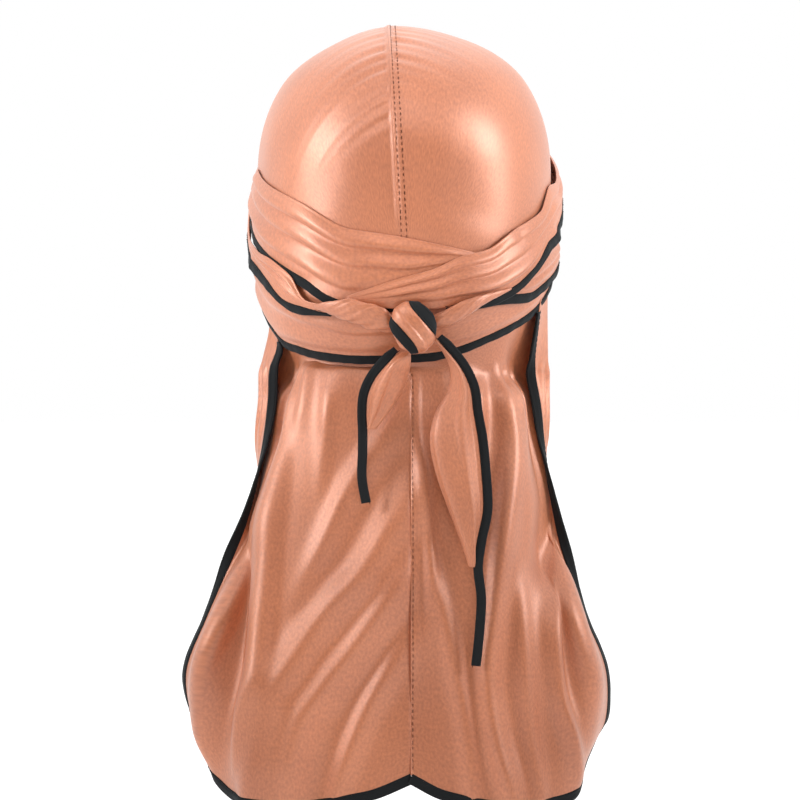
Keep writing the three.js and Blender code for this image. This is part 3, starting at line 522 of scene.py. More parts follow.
# %% Pleats
def pleats(share, along, count, seed, sharp=1.0):
    """Height from 0 to 1 at a share of the way across and a distance along, in millimetres."""
    rng = np.random.default_rng(seed)
    gaps = rng.uniform(16, 60, 3)
    starts = rng.uniform(0, 2 * np.pi, 3)
    wander = sum(np.sin(along / gap + start) for gap, start in zip(gaps, starts)) / 3
    phase = count * (share + 0.16 * wander * np.sin(np.pi * np.clip(share, 0, 1)))
    part = phase - np.floor(phase)
    tuck = smoothstep(part, 0, 0.7) * (1 - smoothstep(part, 0.74, 1))
    which = np.floor(phase).astype(int) % 12
    gap = rng.uniform(14, 40, 12)[which]
    start = rng.uniform(0, 2 * np.pi, 12)[which]
    return tuck**sharp * (0.6 + 0.4 * np.sin(along / gap + start))


def ripple(x, y, gap, seed, waves=7):
    """A gentle uneven surface of crossing waves, from about -1 to 1."""
    rng = np.random.default_rng(seed)
    total = 0
    for _ in range(waves):
        turn = rng.uniform(0, np.pi)
        size = gap * rng.uniform(0.7, 1.6)
        start = rng.uniform(0, 2 * np.pi)
        total = total + np.sin((x * np.cos(turn) + y * np.sin(turn)) * 2 * np.pi / size + start)
    return total / waves**0.5


print("a pleat's height halfway up:", round(float(pleats(0.25, 10.0, 2, 1)), 2))

# %% [markdown]
# ## The crown's net
# Two panels meet in one seam that runs over the top and leans a little. A grid of equal
# rings would crowd at the top, so each panel is a fan of rays from a point inside, cut
# where they meet the form's surface and ended where they pass the rim.

# %% The crown's net
CROWN_RIM = [(0, 170), (45, 166.5), (70, 149.5), (90, 124), (120, 95.5), (150, 85.5), (180, 82)]
rim_depth = steady(*zip(*CROWN_RIM))
NET_DEPTH = 170.1
SEAM_LEAN = 9
SEAM_TURN = math.atan2(SEAM_LEAN, NET_DEPTH)
NET_CENTRE = np.array([0.0, 0.0, -NET_DEPTH])
SEAM_NORMAL = np.array([math.cos(SEAM_TURN), 0.0, -math.sin(SEAM_TURN)])
FARTHEST_TURN = math.radians(112)
HALVINGS = 24
FINE_HALVINGS = 34
FARTHEST = 660.0
FRONT_DEPTH = CROWN_RIM[-1][1]


def net(back, turn):
    """Where rays from the net's centre meet the form: points, angles and depths."""
    back, turn = np.broadcast_arrays(back, turn)
    ray = np.stack([np.sin(back) * np.sin(turn), np.cos(back), np.sin(back) * np.cos(turn)], -1)
    near = np.zeros(back.shape)
    far = np.full(back.shape, FARTHEST)
    angle = np.arctan2(ray[..., 0], ray[..., 1])
    for _ in range(FINE_HALVINGS):
        middle = (near + far) / 2
        depth = NET_DEPTH - ray[..., 2] * middle
        flat = np.hypot(ray[..., 0], ray[..., 1]) * middle
        outside = (depth <= 0) | (flat > head_radius(angle, np.maximum(depth, 1e-4)))
        far = np.where(outside, middle, far)
        near = np.where(outside, near, middle)
    depth = np.maximum(NET_DEPTH - ray[..., 2] * near, 0.001)
    return NET_CENTRE + ray * near[..., None], np.degrees(angle), depth


def rim_turns(back, side):
    """How far each ray of the fan turns before it reaches the panel's rim."""
    inside = np.full(back.shape, SEAM_TURN)
    outside = np.full(back.shape, side * FARTHEST_TURN)
    for _ in range(HALVINGS):
        middle = (inside + outside) / 2
        _, degree, depth = net(back, middle)
        below = depth > rim_depth(np.abs(degree))
        outside = np.where(below, middle, outside)
        inside = np.where(below, inside, middle)
    return inside


def front_end():
    """Where the seam ends at the front rim, as a turn from the back."""
    inside, outside = math.radians(60), math.radians(175)
    for _ in range(HALVINGS):
        middle = (inside + outside) / 2
        _, degree, depth = net(middle, SEAM_TURN)
        if abs(float(degree)) > 90 and float(depth) > FRONT_DEPTH:
            outside = middle
        else:
            inside = middle
    return inside


print("the seam ends", round(math.degrees(front_end())), "degrees round from the back")

# %% [markdown]
# ## The crown's panels
# The seam stands up as a small ridge. Its allowance is pressed to the wearer's right and
# stitched down, so a low step runs beside it. The easing of the curved seam leaves fine
# wrinkles that spread from it near the top and die away down the sides.

# %% The crown's panels
ALLOWANCE = 5
ALLOWANCE_RISE = 0.24
RIDGE_RISE = 0.9
RIDGE_REACH = 2.8
WRINKLE_RISE = 1.15
WRINKLE_REACH = 16
WRINKLE_BAND = (90, 106, 148, 185)
MEAN_RADIUS = 115
CROWN_OFF = 0.62
CROWN_ROWS = 280
NEAR_SEAM = 0.075
NEAR_COLUMNS = 18
FAR_COLUMNS = 74


def crown_normal(degree, depth):
    up = np.array([0.0, 0.0, 1.0])
    share = (1 - smoothstep(depth, 0, 3))[..., None]
    return unit(head_normal(degree, np.maximum(depth, 1.5)) * (1 - share) + up * share)


def crown_rise(away, run, side):
    """How the outside of a panel stands off the form near the seam, in millimetres."""
    rise = RIDGE_RISE * (1 - smoothstep(away, 0, RIDGE_REACH)) ** 1.5
    if side < 0:
        step = 1 - smoothstep(away, ALLOWANCE - 1.2, ALLOWANCE + 0.8)
        rise = rise + ALLOWANCE_RISE * step
        rise = rise - 0.1 * np.exp(-(((away - ALLOWANCE + 1.3) / 0.7) ** 2))
    spread = run + 0.22 * away
    pulls = 0.55 * np.sin(spread / 0.9 + 1.4 * np.sin(spread / 9))
    pulls = pulls + 0.45 * np.sin(spread / 1.7 + side)
    band = smoothstep(run, *WRINKLE_BAND[:2]) * (1 - smoothstep(run, *WRINKLE_BAND[2:]))
    fade = np.exp(-away / WRINKLE_REACH) * smoothstep(away, 0.6, 3.5)
    strength = WRINKLE_RISE * fade * band
    rise = rise + strength * pulls * (0.6 + 0.4 * np.sin(run / 17 + side))
    soft = ripple(run * 1.0, away * 0.8, 46, 5 + side) * 0.45 * smoothstep(away, 3, 30)
    return rise + soft


def crown_panel(side):
    back = np.linspace(0.004, front_end() * 0.999, CROWN_ROWS)
    rim = rim_turns(back, side)
    near = np.linspace(0, NEAR_SEAM, NEAR_COLUMNS)[:-1]
    share = np.concatenate([near, np.linspace(NEAR_SEAM, 1, FAR_COLUMNS)])
    turn = SEAM_TURN + share[None] * (rim - SEAM_TURN)[:, None]
    point, degree, depth = net(back[:, None] + 0 * turn, turn)
    away = np.abs((point - NET_CENTRE) @ SEAM_NORMAL)
    run = (back * MEAN_RADIUS)[:, None] + 0 * away
    open_part = (1 - smoothstep(depth, 100, 116)) * (1 - smoothstep(back, 1.75, 2.0))[:, None]
    off = CROWN_OFF + crown_rise(away, run, side) * open_part
    off = off - (1.2 + 2.2 * smoothstep(away, 2, 40)) * (1 - smoothstep(depth, 1, 32))
    grid = point + crown_normal(degree, depth) * off[..., None]
    short = 0.04 - side * ((grid - NET_CENTRE) @ SEAM_NORMAL)
    return grid + SEAM_NORMAL * (side * np.maximum(short, 0))[..., None]


crown_grids = {name: crown_panel(side) for name, side in SIDES.items()}
for name, grid in crown_grids.items():
    shell(f"crown_{name}", grid)

# %% [markdown]
# ## The three wraps
# Each wrap is a band of the tie, drawn tight. Its upper edge is a fold that curls down on
# the layer below. Its lower edge runs a little way into the tape that binds it. The folds
# lie flatter where a later wrap presses on them.

# %% The wraps and their tape
# For each wrap: how many folds, how high, and the seed of their wandering.
WRAP_FOLDS = {
    "nape_wrap": (3, 1.2, 11),
    "wrap_under": (3.5, 1.7, 23),
    "wrap_over": (3.5, 1.8, 37),
}
INTO_TAPE = 2.2
NAPE_RISE = 9
OVER_TAPE_END = -12
WRAP_ROWS = 380
WRAP_COLUMNS = 46
WRAP_TAPE_ROWS = 420


def wrap_grid(order):
    item = LAYERS[order]
    count, height, seed = WRAP_FOLDS[item["name"]]
    closed = item["last"] - item["first"] >= 360
    degree = np.linspace(item["first"], item["last"], WRAP_ROWS, endpoint=not closed)[:, None]
    share = np.linspace(0, 1, WRAP_COLUMNS)[None]
    top, bottom = item["top"](degree), item["bottom"](degree)
    if closed:
        top = top - NAPE_RISE * smoothstep(degree, 15, 35) * (1 - smoothstep(degree, 70, 95))
    depth = top + (bottom + INTO_TAPE - top) * share
    wide = bottom - top
    across = share * wide
    if closed:
        # The folds of a closed wrap come back to where they began.
        angle = np.radians(degree)
        along = 60 * np.cos(angle) + 45 * np.sin(angle)
    else:
        along = degree * RING_LENGTH
    roll = smoothstep(across, -0.2, 2.4)
    ease = smoothstep((wide + INTO_TAPE) * (1 - share), INTO_TAPE, INTO_TAPE + 4.5)
    free = 1 - 0.75 * hidden(order, degree, depth)
    fold = pleats(share, along, count, seed) * height * np.clip(wide / 16, 0.35, 1.25)
    base = lift(order, degree, depth)
    off = base + CLOTH / 2 + 0.1 + roll * ease * fold * free + 0.35 * roll
    return on_head(degree, depth, off), closed


def wrap_tape(order, closed):
    item = LAYERS[order]
    last = OVER_TAPE_END if item["name"] == "wrap_over" else item["last"]
    degree = np.linspace(item["first"], last, WRAP_TAPE_ROWS, endpoint=not closed)
    edge = item["bottom"](degree) + 0.42
    wave = 0.12 * np.sin(degree / 2.1) + 0.1 * np.sin(degree / 0.9 + 1)
    near = on_head(degree, edge, lift(order, degree, edge) + TAPE_THICK / 2 + wave)
    low = edge + TAPE_WIDTH - 0.2
    far = on_head(degree, low, lift(order, degree, low) + TAPE_THICK / 2 + wave)
    normal = head_normal(degree, edge + TAPE_WIDTH / 2)
    across = unit(far - near)
    normal = normal - across * (normal * across).sum(-1)[:, None]
    return (near + far) / 2, far - near, normal


edge_lines = []
for order in (1, 2, 3):
    name = LAYERS[order]["name"]
    grid, closed = wrap_grid(order)
    shell(name, grid, closed=closed)
    centre, across, normal = wrap_tape(order, closed)
    width = TAPE_WIDTH if closed else TAPE_WIDTH * taper(centre, 0.3, 0.3, 24)
    tape(f"{name}_binding", centre, across, normal, width, closed=closed)
    edge_lines.append((centre, across, normal))

# %% [markdown]
# ## The cape
# Two panels hang from the nape and meet in the centre seam. Their tops lie under the nape
# wrap, pressed flat; lower down they bulge to the sides and turn back to their bound
# edges. Each level is a plan of the panel: seam, middle, main fold, hollow, bulge and edge,
# in millimetres from the middle of the cover. A curve through the levels is the
# cloth, and the folds of the photo's light and shade are raised on it.


# %% The cape's plan
def through(points, at):
    """A smooth curve through points (the last axis but one), at shares of its length."""
    points = np.asarray(points, float)
    count = points.shape[-2]
    first = 2 * points[..., :1, :] - points[..., 1:2, :]
    last = 2 * points[..., -1:, :] - points[..., -2:-1, :]
    padded = np.concatenate([first, points, last], axis=-2)
    place = np.clip(np.asarray(at, float), 0, 1) * (count - 1)
    i = np.minimum(place.astype(int), count - 2)
    t = (place - i)[:, None]
    p0, p1, p2, p3 = (padded[..., i + k, :] for k in range(4))
    steps = [np.linalg.norm(b - a, axis=-1, keepdims=True) for a, b in ((p0, p1), (p1, p2), (p2, p3))]
    d0, d1, d2 = (np.maximum(np.sqrt(step), 1e-4) for step in steps)
    t1 = ((p1 - p0) / d0 - (p2 - p0) / (d0 + d1) + (p2 - p1) / d1) * d1
    t2 = ((p2 - p1) / d1 - (p3 - p1) / (d1 + d2) + (p3 - p2) / d2) * d1
    return p1 + t1 * t + (3 * (p2 - p1) - 2 * t1 - t2) * t**2 + (2 * (p1 - p2) + t1 + t2) * t**3


CAPE_LEVELS = {
    "left": [
        (0.03, 74.4, 30.9, 69.6, 52.4, 54.7, 56.5, 36, 75.5, 24, 70, 38),
        (0.101, 77.9, 32, 72.9, 55, 60, 59, 36.9, 76, 25.9, 70.4, 39.3),
        (0.189, 80, 34, 75, 58, 63, 60.9, 39.3, 77.9, 25.9, 72.6, 41.6),
        (0.326, 84, 36.1, 79, 64, 69, 67.8, 50, 75.6, 36.9, 80.3, 47),
        (0.458, 87, 38, 82.9, 67, 75, 72.6, 54.7, 82.1, 48.8, 90.4, 47.6),
        (0.595, 90, 39, 86, 69, 80, 79, 66, 96, 66, 103.1, 50),
        (0.731, 92, 40, 89, 71, 84, 82.9, 72, 104.7, 70, 113, 52),
        (0.868, 95, 41.1, 92, 72, 87, 86, 76, 107.1, 66, 108.9, 48),
        (1, 97, 42, 94, 72, 90, 84, 80, 97.8, 67.9, 102.9, 50),
    ],
    "right": [
        (0.03, 74.4, 29.2, 70.2, 50, 57.1, 55.5, 38, 75, 25, 67, 38),
        (0.101, 77.9, 30, 74, 52, 62, 57.1, 38.1, 75, 27, 69.6, 40.5),
        (0.189, 80, 31.1, 76, 55, 64, 59.5, 40.5, 75, 30, 72, 41.6),
        (0.326, 84, 33, 80, 60, 70, 65.5, 51.2, 71.4, 36.9, 76.8, 46.4),
        (0.458, 87, 35, 84, 63, 76, 69, 57.1, 75.6, 50, 83.3, 47.6),
        (0.595, 90, 37, 87, 66, 81, 77, 70, 89, 66, 94.1, 50),
        (0.731, 92, 38, 90, 67.9, 85, 81, 76, 97, 70, 104.1, 52),
        (0.868, 95, 39, 93.1, 69, 87.9, 84, 80, 97, 70, 103.9, 52),
        (1, 97, 40, 95, 69, 91, 82, 82, 91, 71.4, 99.5, 54),
    ],
}
TOP_ANGLES = {"left": (0.6, 22, 42, 55, 72, 62), "right": (0.6, 21, 39, 50, 68, 56)}
TOP_LEVELS = [(-14, 0, 2.0), (-2.8, 0.3, 2.4), (8.1, 1.5, 4.2)]
HEM = [(0, 0.925), (0.1, 0.965), (0.28, 0.988), (0.6, 0.975), (0.8, 0.94), (0.9, 0.9), (1, 0.85)]
SEAM_X = -3.0
CAPE_ROWS = 170
CAPE_COLUMNS = 130
# Each fold: height, width towards the wearer's left, width towards the right, and its line
# as (fall, x) places.
CAPE_FOLDS = [
    (5, 7, 4.5, [(-2, 60), (43, 63), (84, 68), (124, 71), (160, 73), (185, 79), (224, 88)]),
    (4, 6, 6, [(73, 68), (109, 81), (135, 93), (157, 103), (178, 109)]),
    (4.4, 9, 12, [(58, -3), (89, 9), (110, 21), (129, 38), (150, 53), (172, 66), (205, 74), (250, 80)]),
    (4, 7, 9, [(98, -4), (124, 8), (147, 24), (170, 42), (186, 52), (215, 58), (250, 60)]),
    (3.2, 5, 7, [(135, -4), (160, 9), (185, 22), (215, 33), (250, 40)]),
    (2.6, 6, 9, [(25, 0), (51, 18), (73, 31), (96, 41), (130, 57)]),
    (1.6, 4, 4, [(2, 38), (38, 40), (73, 44)]),
    (2.6, 5, 5, [(94, -12), (124, -18), (155, -24), (185, -30), (215, -33), (250, -34)]),
    (4.5, 6, 6, [(5, -60), (43, -65), (84, -71), (119, -80), (152, -90), (175, -96)]),
    (4.4, 5, 7, [(-5, -52), (43, -53), (89, -50), (129, -45), (165, -41), (190, -44), (220, -52),
                 (255, -60)]),
    (4.4, 3.5, 4.5, [(104, -72), (140, -73), (170, -76), (200, -84), (228, -89)]),
    (2, 4, 4, [(-2, -38), (38, -37), (73, -33)]),
    (2.6, 5, 5, [(104, -58), (145, -59), (185, -62), (220, -68), (250, -72)]),
    (2.2, 3.5, 3.5, [(33, -5), (73, -10), (114, -13), (150, -12)]),
]


def fold_rise(x, fall):
    total = 0
    for height, left, right, line in CAPE_FOLDS:
        falls, places = zip(*line)
        centre = steady(falls, places)(fall)
        slope = (steady(falls, places)(fall + 2) - centre) / 2
        aside = (x - centre) / np.hypot(1, slope)
        width = np.where(aside > 0, left, right)
        ends = smoothstep(fall, falls[0] - 8, falls[0] + 34)
        ends = ends * (1 - smoothstep(fall, falls[-1] - 46, falls[-1] + 12))
        total = total + height * ends * np.exp(-((np.abs(aside) / width) ** 1.9))
    return total


def cape_surface(side):
    """The panel without its folds, and the share of its width at each point."""
    sign = SIDES[side]
    share = np.linspace(0, 1, CAPE_COLUMNS)
    hem_at = steady(*zip(*HEM))
    angles = sign * np.array(TOP_ANGLES[side])
    bottom = LAYERS[1]["bottom"](angles)
    levels = []
    for below, bulge_off, edge_off in TOP_LEVELS:
        depth = bottom + below
        off = 1.2 + np.array([0, 0, 0, 0, bulge_off, edge_off])
        levels.append(through(on_head(angles, depth, lift(0, angles, depth) + off), share))
    for fall, seam_y, *plan in CAPE_LEVELS[side]:
        xs = np.concatenate([[SEAM_X], sign * np.array(plan[0::2])])
        ys = np.concatenate([[seam_y], plan[1::2]])
        row = through(np.stack([xs, ys, 0 * xs], -1), share)
        reach = 1 - (1 - hem_at(share)) * fall**8
        row[:, 2] = -NAPE_DEPTH - fall * reach * CAPE_FALL
        levels.append(row)
    down = np.linspace(0, 1, CAPE_ROWS)
    smooth = through(np.stack(levels, axis=1), down).transpose(1, 0, 2)
    return smooth, np.broadcast_to(share[None], smooth.shape[:2])


print("the hem's lowest point is", NAPE_DEPTH + CAPE_FALL, "mm below the top")

# %% [markdown]
# ## Folds on the cape
# Broad soft folds fall from the nape. Fine gathers start under the band and die away below
# it, short creases cross the hang of the cloth, and the seam is drawn in a little, with the
# same pressed allowance beside it as on the crown.

# %% The cape's panels and their tape
PANEL_WIDTH = 105
FOLD_DEPTH = 1.5
GATHER_DEPTH = 0.95
HEM_WAVE = 1.6
SEAM_DRAW = 0.9
PRESSED_RISE = 0.6
EDGE_POINTS = 360
TAPE_START_ROW = 27
TAPE_PAST_EDGE = 1.5


def cape_panel(side):
    sign = SIDES[side]
    smooth, share = cape_surface(side)
    normal = grid_normal(smooth)
    x, fall = smooth[..., 0], -smooth[..., 2] - NAPE_DEPTH
    low = smoothstep(fall, 6, 22)
    rise = FOLD_DEPTH * fold_rise(x, fall) * low * (1 - smoothstep(share, 0.86, 0.97))
    across = share * PANEL_WIDTH
    gather = np.sin(across / 1.7 + 2.2 * np.sin(across / 8)) * np.exp(-((fall - 14) / 26) ** 2)
    rise = rise + GATHER_DEPTH * gather * smoothstep(fall, 1, 9) * smoothstep(share, 0.08, 0.25)
    rise = rise + 0.7 * low * ripple(x, fall * 0.4, 34, 41 + sign)
    near_hem = smoothstep(fall, 165, 222) * smoothstep(share, 0.03, 0.2)
    rise = rise + HEM_WAVE * np.sin(across / 7.5 + sign) * near_hem
    seam = np.abs(x - SEAM_X)
    rise = rise - SEAM_DRAW * np.exp(-seam / 2.2) * low
    if sign < 0:
        pressed = 1 - smoothstep(seam, ALLOWANCE - 0.9, ALLOWANCE + 0.4)
        rise = rise + PRESSED_RISE * pressed * low
    grid = smooth + normal * rise[..., None]
    tucked = 1 - smoothstep(-grid[:, 0, 2], NAPE_DEPTH, NAPE_DEPTH + 14)
    grid[:, 0, 0] = SEAM_X * (1 - tucked) + sign * 0.12
    return grid


def cape_edge(grid, start):
    """The line of the tape: down the side edge from a row, then along the hem to the seam."""
    normal = grid_normal(grid)
    path = np.concatenate([grid[start:-1, -1], grid[-1, ::-1]])
    line = np.concatenate([normal[start:-1, -1], normal[-1, ::-1]])
    run = lengths(path)
    even = np.linspace(0, run[-1], EDGE_POINTS)
    path = np.stack([np.interp(even, run, path[:, k]) for k in range(3)], 1)
    line = unit(np.stack([np.interp(even, run, line[:, k]) for k in range(3)], 1))
    soft = np.array([1, 2, 3, 4, 3, 2, 1]) / 16
    for _ in range(2):
        for values in (path, line):
            inner = [np.convolve(values[:, k], soft, "valid") for k in range(3)]
            values[3:-3] = np.stack(inner, 1)
    along = unit(np.gradient(path, axis=0))
    out = unit(np.cross(along, line))
    middle = grid[grid.shape[0] // 2, grid.shape[1] // 2]
    out = out * np.sign((out * (path - middle)).sum())
    return path, out, np.cross(out, along)


cape_grids = {side: cape_panel(side) for side in SIDES}
for side, sign in SIDES.items():
    grid = cape_grids[side]
    shell(f"cape_{side}", grid)
    path, out, normal = cape_edge(grid, TAPE_START_ROW)
    centre = path + out * TAPE_PAST_EDGE
    past = sign * (SEAM_X - sign * 0.3 - centre[:, 0])
    centre[:, 0] += sign * np.maximum(past, 0)
    tape(f"cape_binding_{side}", centre, out, normal)
    edge_lines.append((centre, out, normal))

# %% [markdown]
# ## The knot
# The ties cross and pull into a small tight ball. Folds run over it in the direction of the
# last turn, a band of satin crosses it from upper left to lower right, and the bound edge of
# the tie shows above and below that band.

# %% The knot
KNOT_HALF = np.array([11.0, 5.5, 12.3])
KNOT_DEPTH = 157.7
KNOT_TURN = math.radians(-52)
KNOT_TILT = math.radians(38)
KNOT_SIDES = 72
KNOT_RINGS = 60
BAND_REACH = math.radians(84)
BAND_ROWS = 90
BAND_COLUMNS = 40
KNOT_TAPE_REACH = math.radians(80)
KNOT_TAPE_ROWS = 80
knot_centre = on_head(-2.3, KNOT_DEPTH, lift(4, -2.3, KNOT_DEPTH)) + [0, 7.3, 0]


def knot_point(along, across, grow):
    """A place on the knot: along the band over its face, across it, and out from the core."""
    half = KNOT_HALF + np.asarray(grow)[..., None]
    width = across * np.cos(np.clip(np.abs(across), 0, 1) * 0.4)
    ring = np.sqrt(np.maximum(1 - width * width, 0.02))
    run = np.sin(along) * ring
    x = run * math.cos(KNOT_TURN) - width * math.sin(KNOT_TURN)
    z = run * math.sin(KNOT_TURN) + width * math.cos(KNOT_TURN)
    return np.stack([-x, np.cos(along) * ring, z], -1) * half + knot_centre


def knot_core():
    turn = np.linspace(0, 2 * np.pi, KNOT_SIDES, endpoint=False)[None]
    height = np.linspace(0.03, np.pi - 0.03, KNOT_RINGS)[:, None]
    fold = pleats(turn / (2 * np.pi) + 0.18 * np.cos(height), 20 * height, 5, 61) * np.sin(height)
    size = 0.9 + 0.1 * fold
    x = np.sin(height) * np.cos(turn) * size
    y = np.sin(height) * np.sin(turn) * size
    z = np.cos(height) * size
    leant = x * math.cos(KNOT_TILT) + z * math.sin(KNOT_TILT)
    up = -x * math.sin(KNOT_TILT) + z * math.cos(KNOT_TILT)
    ring = np.stack([leant, y, up], -1) * KNOT_HALF + knot_centre
    flat = np.linspace(0, 60, KNOT_SIDES + 1)
    return loft("knot_core", ring, flat, np.linspace(0, 30, KNOT_RINGS + 1), False, satin)


def knot_wrap():
    along = np.linspace(-BAND_REACH, BAND_REACH, BAND_ROWS)[:, None]
    share = np.linspace(0, 1, BAND_COLUMNS)[None]
    across = -0.42 + 0.94 * share + 0.05 * np.sin(2 * along)
    fold = pleats(share, 14 * along, 2, 71)
    fold = fold * smoothstep(share, 0, 0.15) * (1 - smoothstep(share, 0.85, 1))
    ends = np.cos(np.clip(along, -1.4, 1.4)) ** 0.5
    grow = 0.5 + (fold + 0.9 * np.sin(np.pi * share) + 0.4) * ends
    return knot_point(along + 0 * share, across, grow)


def knot_tape(at, wide):
    along = np.linspace(-KNOT_TAPE_REACH, KNOT_TAPE_REACH, KNOT_TAPE_ROWS)
    across = at + 0.05 * np.sin(2 * along)
    grow = 1.25 * np.cos(along * 0.9)
    centre = knot_point(along, across, grow)
    side = knot_point(along, across + 0.02, grow) - centre
    normal = unit(np.cross(side, np.gradient(centre, axis=0)))
    normal = normal * np.sign((normal * (centre - knot_centre)).sum())
    return centre, side, normal, wide * taper(centre, 0.8, 0.8, 7)


knot_core()
shell("knot_band", knot_wrap())
for name, at, wide in (("knot_binding_upper", 0.72, 7.4), ("knot_binding_lower", -0.58, 5.4)):
    centre, side, normal, width = knot_tape(at, wide)
    tape(name, centre, side, normal, width, 1.5)

# %% [markdown]
# ## The strands beside the knot
# Where a tie turns into the knot it is drawn together like a short rope. Its folds run along
# it with a slight twist, and it fans out into the wrap behind it.

# %% Strands
# Each row: the angle from the nape, the depth, the strand's width and how far it stands out.
STRANDS = {
    "left": [
        (2.5, 156.6, 5, 4), (6, 153.2, 12.5, 6.2), (10, 151.4, 14.5, 6.2),
        (15, 149.3, 13, 5.6), (20, 148.3, 9, 4), (27, 147.7, 2, 0.8),
    ],
    "right": [
        (-32, 139.5, 0.8, 0.4), (-23, 144, 5.6, 2.8), (-18.5, 147.1, 9.4, 4.6),
        (-14, 150.5, 11, 5.5), (-10.5, 153.2, 9.4, 5.6), (-7, 155, 5, 4),
    ],
}
STRAND_SIDES = 64
STRAND_ROWS = 60


def strand(side):
    angles, *values = zip(*STRANDS[side])
    depth_at, width_at, rise_at = (steady(angles, value) for value in values)
    degree = np.linspace(angles[0], angles[-1], STRAND_ROWS)
    depth, width, rise = depth_at(degree), width_at(degree), rise_at(degree)
    off = lift(4, degree, depth) + rise / 2 - 0.4
    centre = on_head(degree, depth, off)
    across = unit(on_head(degree, depth + 1) - on_head(degree, depth - 1))
    out = unit(on_head(degree, depth, 1.0) - on_head(degree, depth))
    turn = np.linspace(0, 2 * np.pi, STRAND_SIDES, endpoint=False)[None]
    twist = (degree[:, None] - angles[0]) * 0.035
    fold = pleats(turn / (2 * np.pi) + twist, degree[:, None] * 1.5, 7, 81 + len(side))
    size = 0.86 + 0.2 * fold
    ring = (
        centre[:, None]
        + across[:, None] * (np.cos(turn) * size * width[:, None] / 2)[..., None]
        + out[:, None] * (np.sin(turn) * size * rise[:, None] / 2)[..., None]
    )
    flat = np.linspace(0, 30, STRAND_SIDES + 1)
    return loft(f"strand_{side}", ring, flat, lengths(centre), False, satin)


for side in SIDES:
    piece = strand(side)
    print(piece.name, len(piece.data.polygons), "faces")

# %% [markdown]
# ## The loose ends
# Below the knot each tie ends in a short tail: satin that opens from the knot in a few folds,
# bound down its outer edge. The tape runs on past the cloth to a square cut tip. The rows
# give the tape's edge, the middle and the free edge in widths of the end.

# %% Loose ends and their tape
LOOSE_ENDS = {
    "left": [
        (0.14, 0.23, 0.13, 0.04, 0.1, 0.13, 0.13),
        (0.2, 0.41, 0.26, 0.03, 0.2, 0.34, 0.2),
        (0.29, 0.63, 0.4, 0.08, 0.18, 0.34, 0.16),
        (0.38, 0.75, 0.52, 0.18, 0.16, 0.32, 0.14),
        (0.48, 0.78, 0.62, 0.38, 0.14, 0.26, 0.14),
        (0.58, 0.77, 0.74, 0.62, 0.12, 0.18, 0.12),
    ],
    "right": [
        (0.035, -0.4, -0.37, -0.335, 0, 0.02, 0.02),
        (0.065, -0.56, -0.52, -0.48, 0.1, 0.18, 0.1),
        (0.12, -0.81, -0.76, -0.62, 0.2, 0.32, 0.2),
        (0.18, -0.97, -0.84, -0.6, 0.2, 0.38, 0.2),
        (0.25, -1.03, -0.78, -0.38, 0.18, 0.38, 0.16),
        (0.33, -1.11, -0.78, -0.29, 0.16, 0.36, 0.14),
        (0.42, -1.16, -0.84, -0.37, 0.16, 0.34, 0.14),
        (0.54, -1.19, -0.94, -0.6, 0.14, 0.3, 0.12),
        (0.63, -1.09, -0.99, -0.8, 0.12, 0.22, 0.12),
        (0.71, -1.03, -1.04, -0.96, 0.12, 0.14, 0.12),
    ],
}
END_WIDTH = 30
END_LENGTH = {"left": 88, "right": 170}
END_FOLD = 2.1
TAPE_PAST_END = 2.2
END_TAPE_WIDTH = 4.9
END_ROWS = 110
END_COLUMNS = 36
END_TAPE_ROWS = 200
TAPE_TIPS = {
    "left": [(0.72, 0.77), (0.86, 0.78), (1, 0.71)],
    "right": [(0.8, -1.08), (0.9, -1.05), (1, -0.99)],
}
# How far back the loose ends hang, at shares of the cape's fall.
HANG = [
    (-0.06, 106.7), (0, 96), (0.06, 88.8), (0.14, 83.4),
    (0.3, 85.8), (0.5, 90.7), (0.75, 94.6), (1, 97),
]
hang_at = steady(*zip(*HANG))


def hang_points(side, fall, x, off):
    z = knot_centre[2] - np.asarray(fall) * END_LENGTH[side]
    back = hang_at((-z - NAPE_DEPTH) / CAPE_FALL) + np.asarray(off) * END_WIDTH
    return np.stack([knot_centre[0] + np.asarray(x) * END_WIDTH, back, z], -1)


def loose_grid(side):
    rows = np.array(LOOSE_ENDS[side])
    fall = rows[:, 0]
    lines = [hang_points(side, fall, rows[:, k], rows[:, k + 3]) for k in (1, 2, 3)]
    down = np.linspace(0, 1, END_ROWS)
    share = np.linspace(0, 1, END_COLUMNS)
    grid = through(np.stack([through(line, down) for line in lines], 1), share)
    width = np.linalg.norm(grid[:, -1] - grid[:, 0], axis=1)[:, None]
    along = (down * END_LENGTH[side])[:, None]
    fold = pleats(share[None], along, 2, 91 + len(side), 1.4) - 0.4
    height = END_FOLD * np.clip(width / 14, 0.25, 1) * smoothstep(share, 0, 0.12)[None]
    return grid + grid_normal(grid) * (fold * height)[..., None]


def loose_tape(side):
    rows = np.array(LOOSE_ENDS[side])
    tips = np.array(TAPE_TIPS[side])
    fall = np.concatenate([rows[:, 0], tips[:, 0]])
    x = np.concatenate([rows[:, 1], tips[:, 1]])
    off = np.concatenate([rows[:, 4], np.full(len(tips), rows[-1, 4])])
    points = through(hang_points(side, fall, x, off), np.linspace(0, 1, END_TAPE_ROWS))
    along = unit(np.gradient(points, axis=0))
    out = unit(np.cross([0.0, 1.0, 0.0], along)) * -SIDES[side]
    normal = unit(np.cross(along, out))
    return points + out * TAPE_PAST_END, out, normal


for side in SIDES:
    shell(f"loose_end_{side}", loose_grid(side))
    centre, out, normal = loose_tape(side)
    width = END_TAPE_WIDTH * taper(centre, 0.7, 1)
    tape(f"loose_end_binding_{side}", centre, out, normal, width)
    edge_lines.append((centre, out, normal))

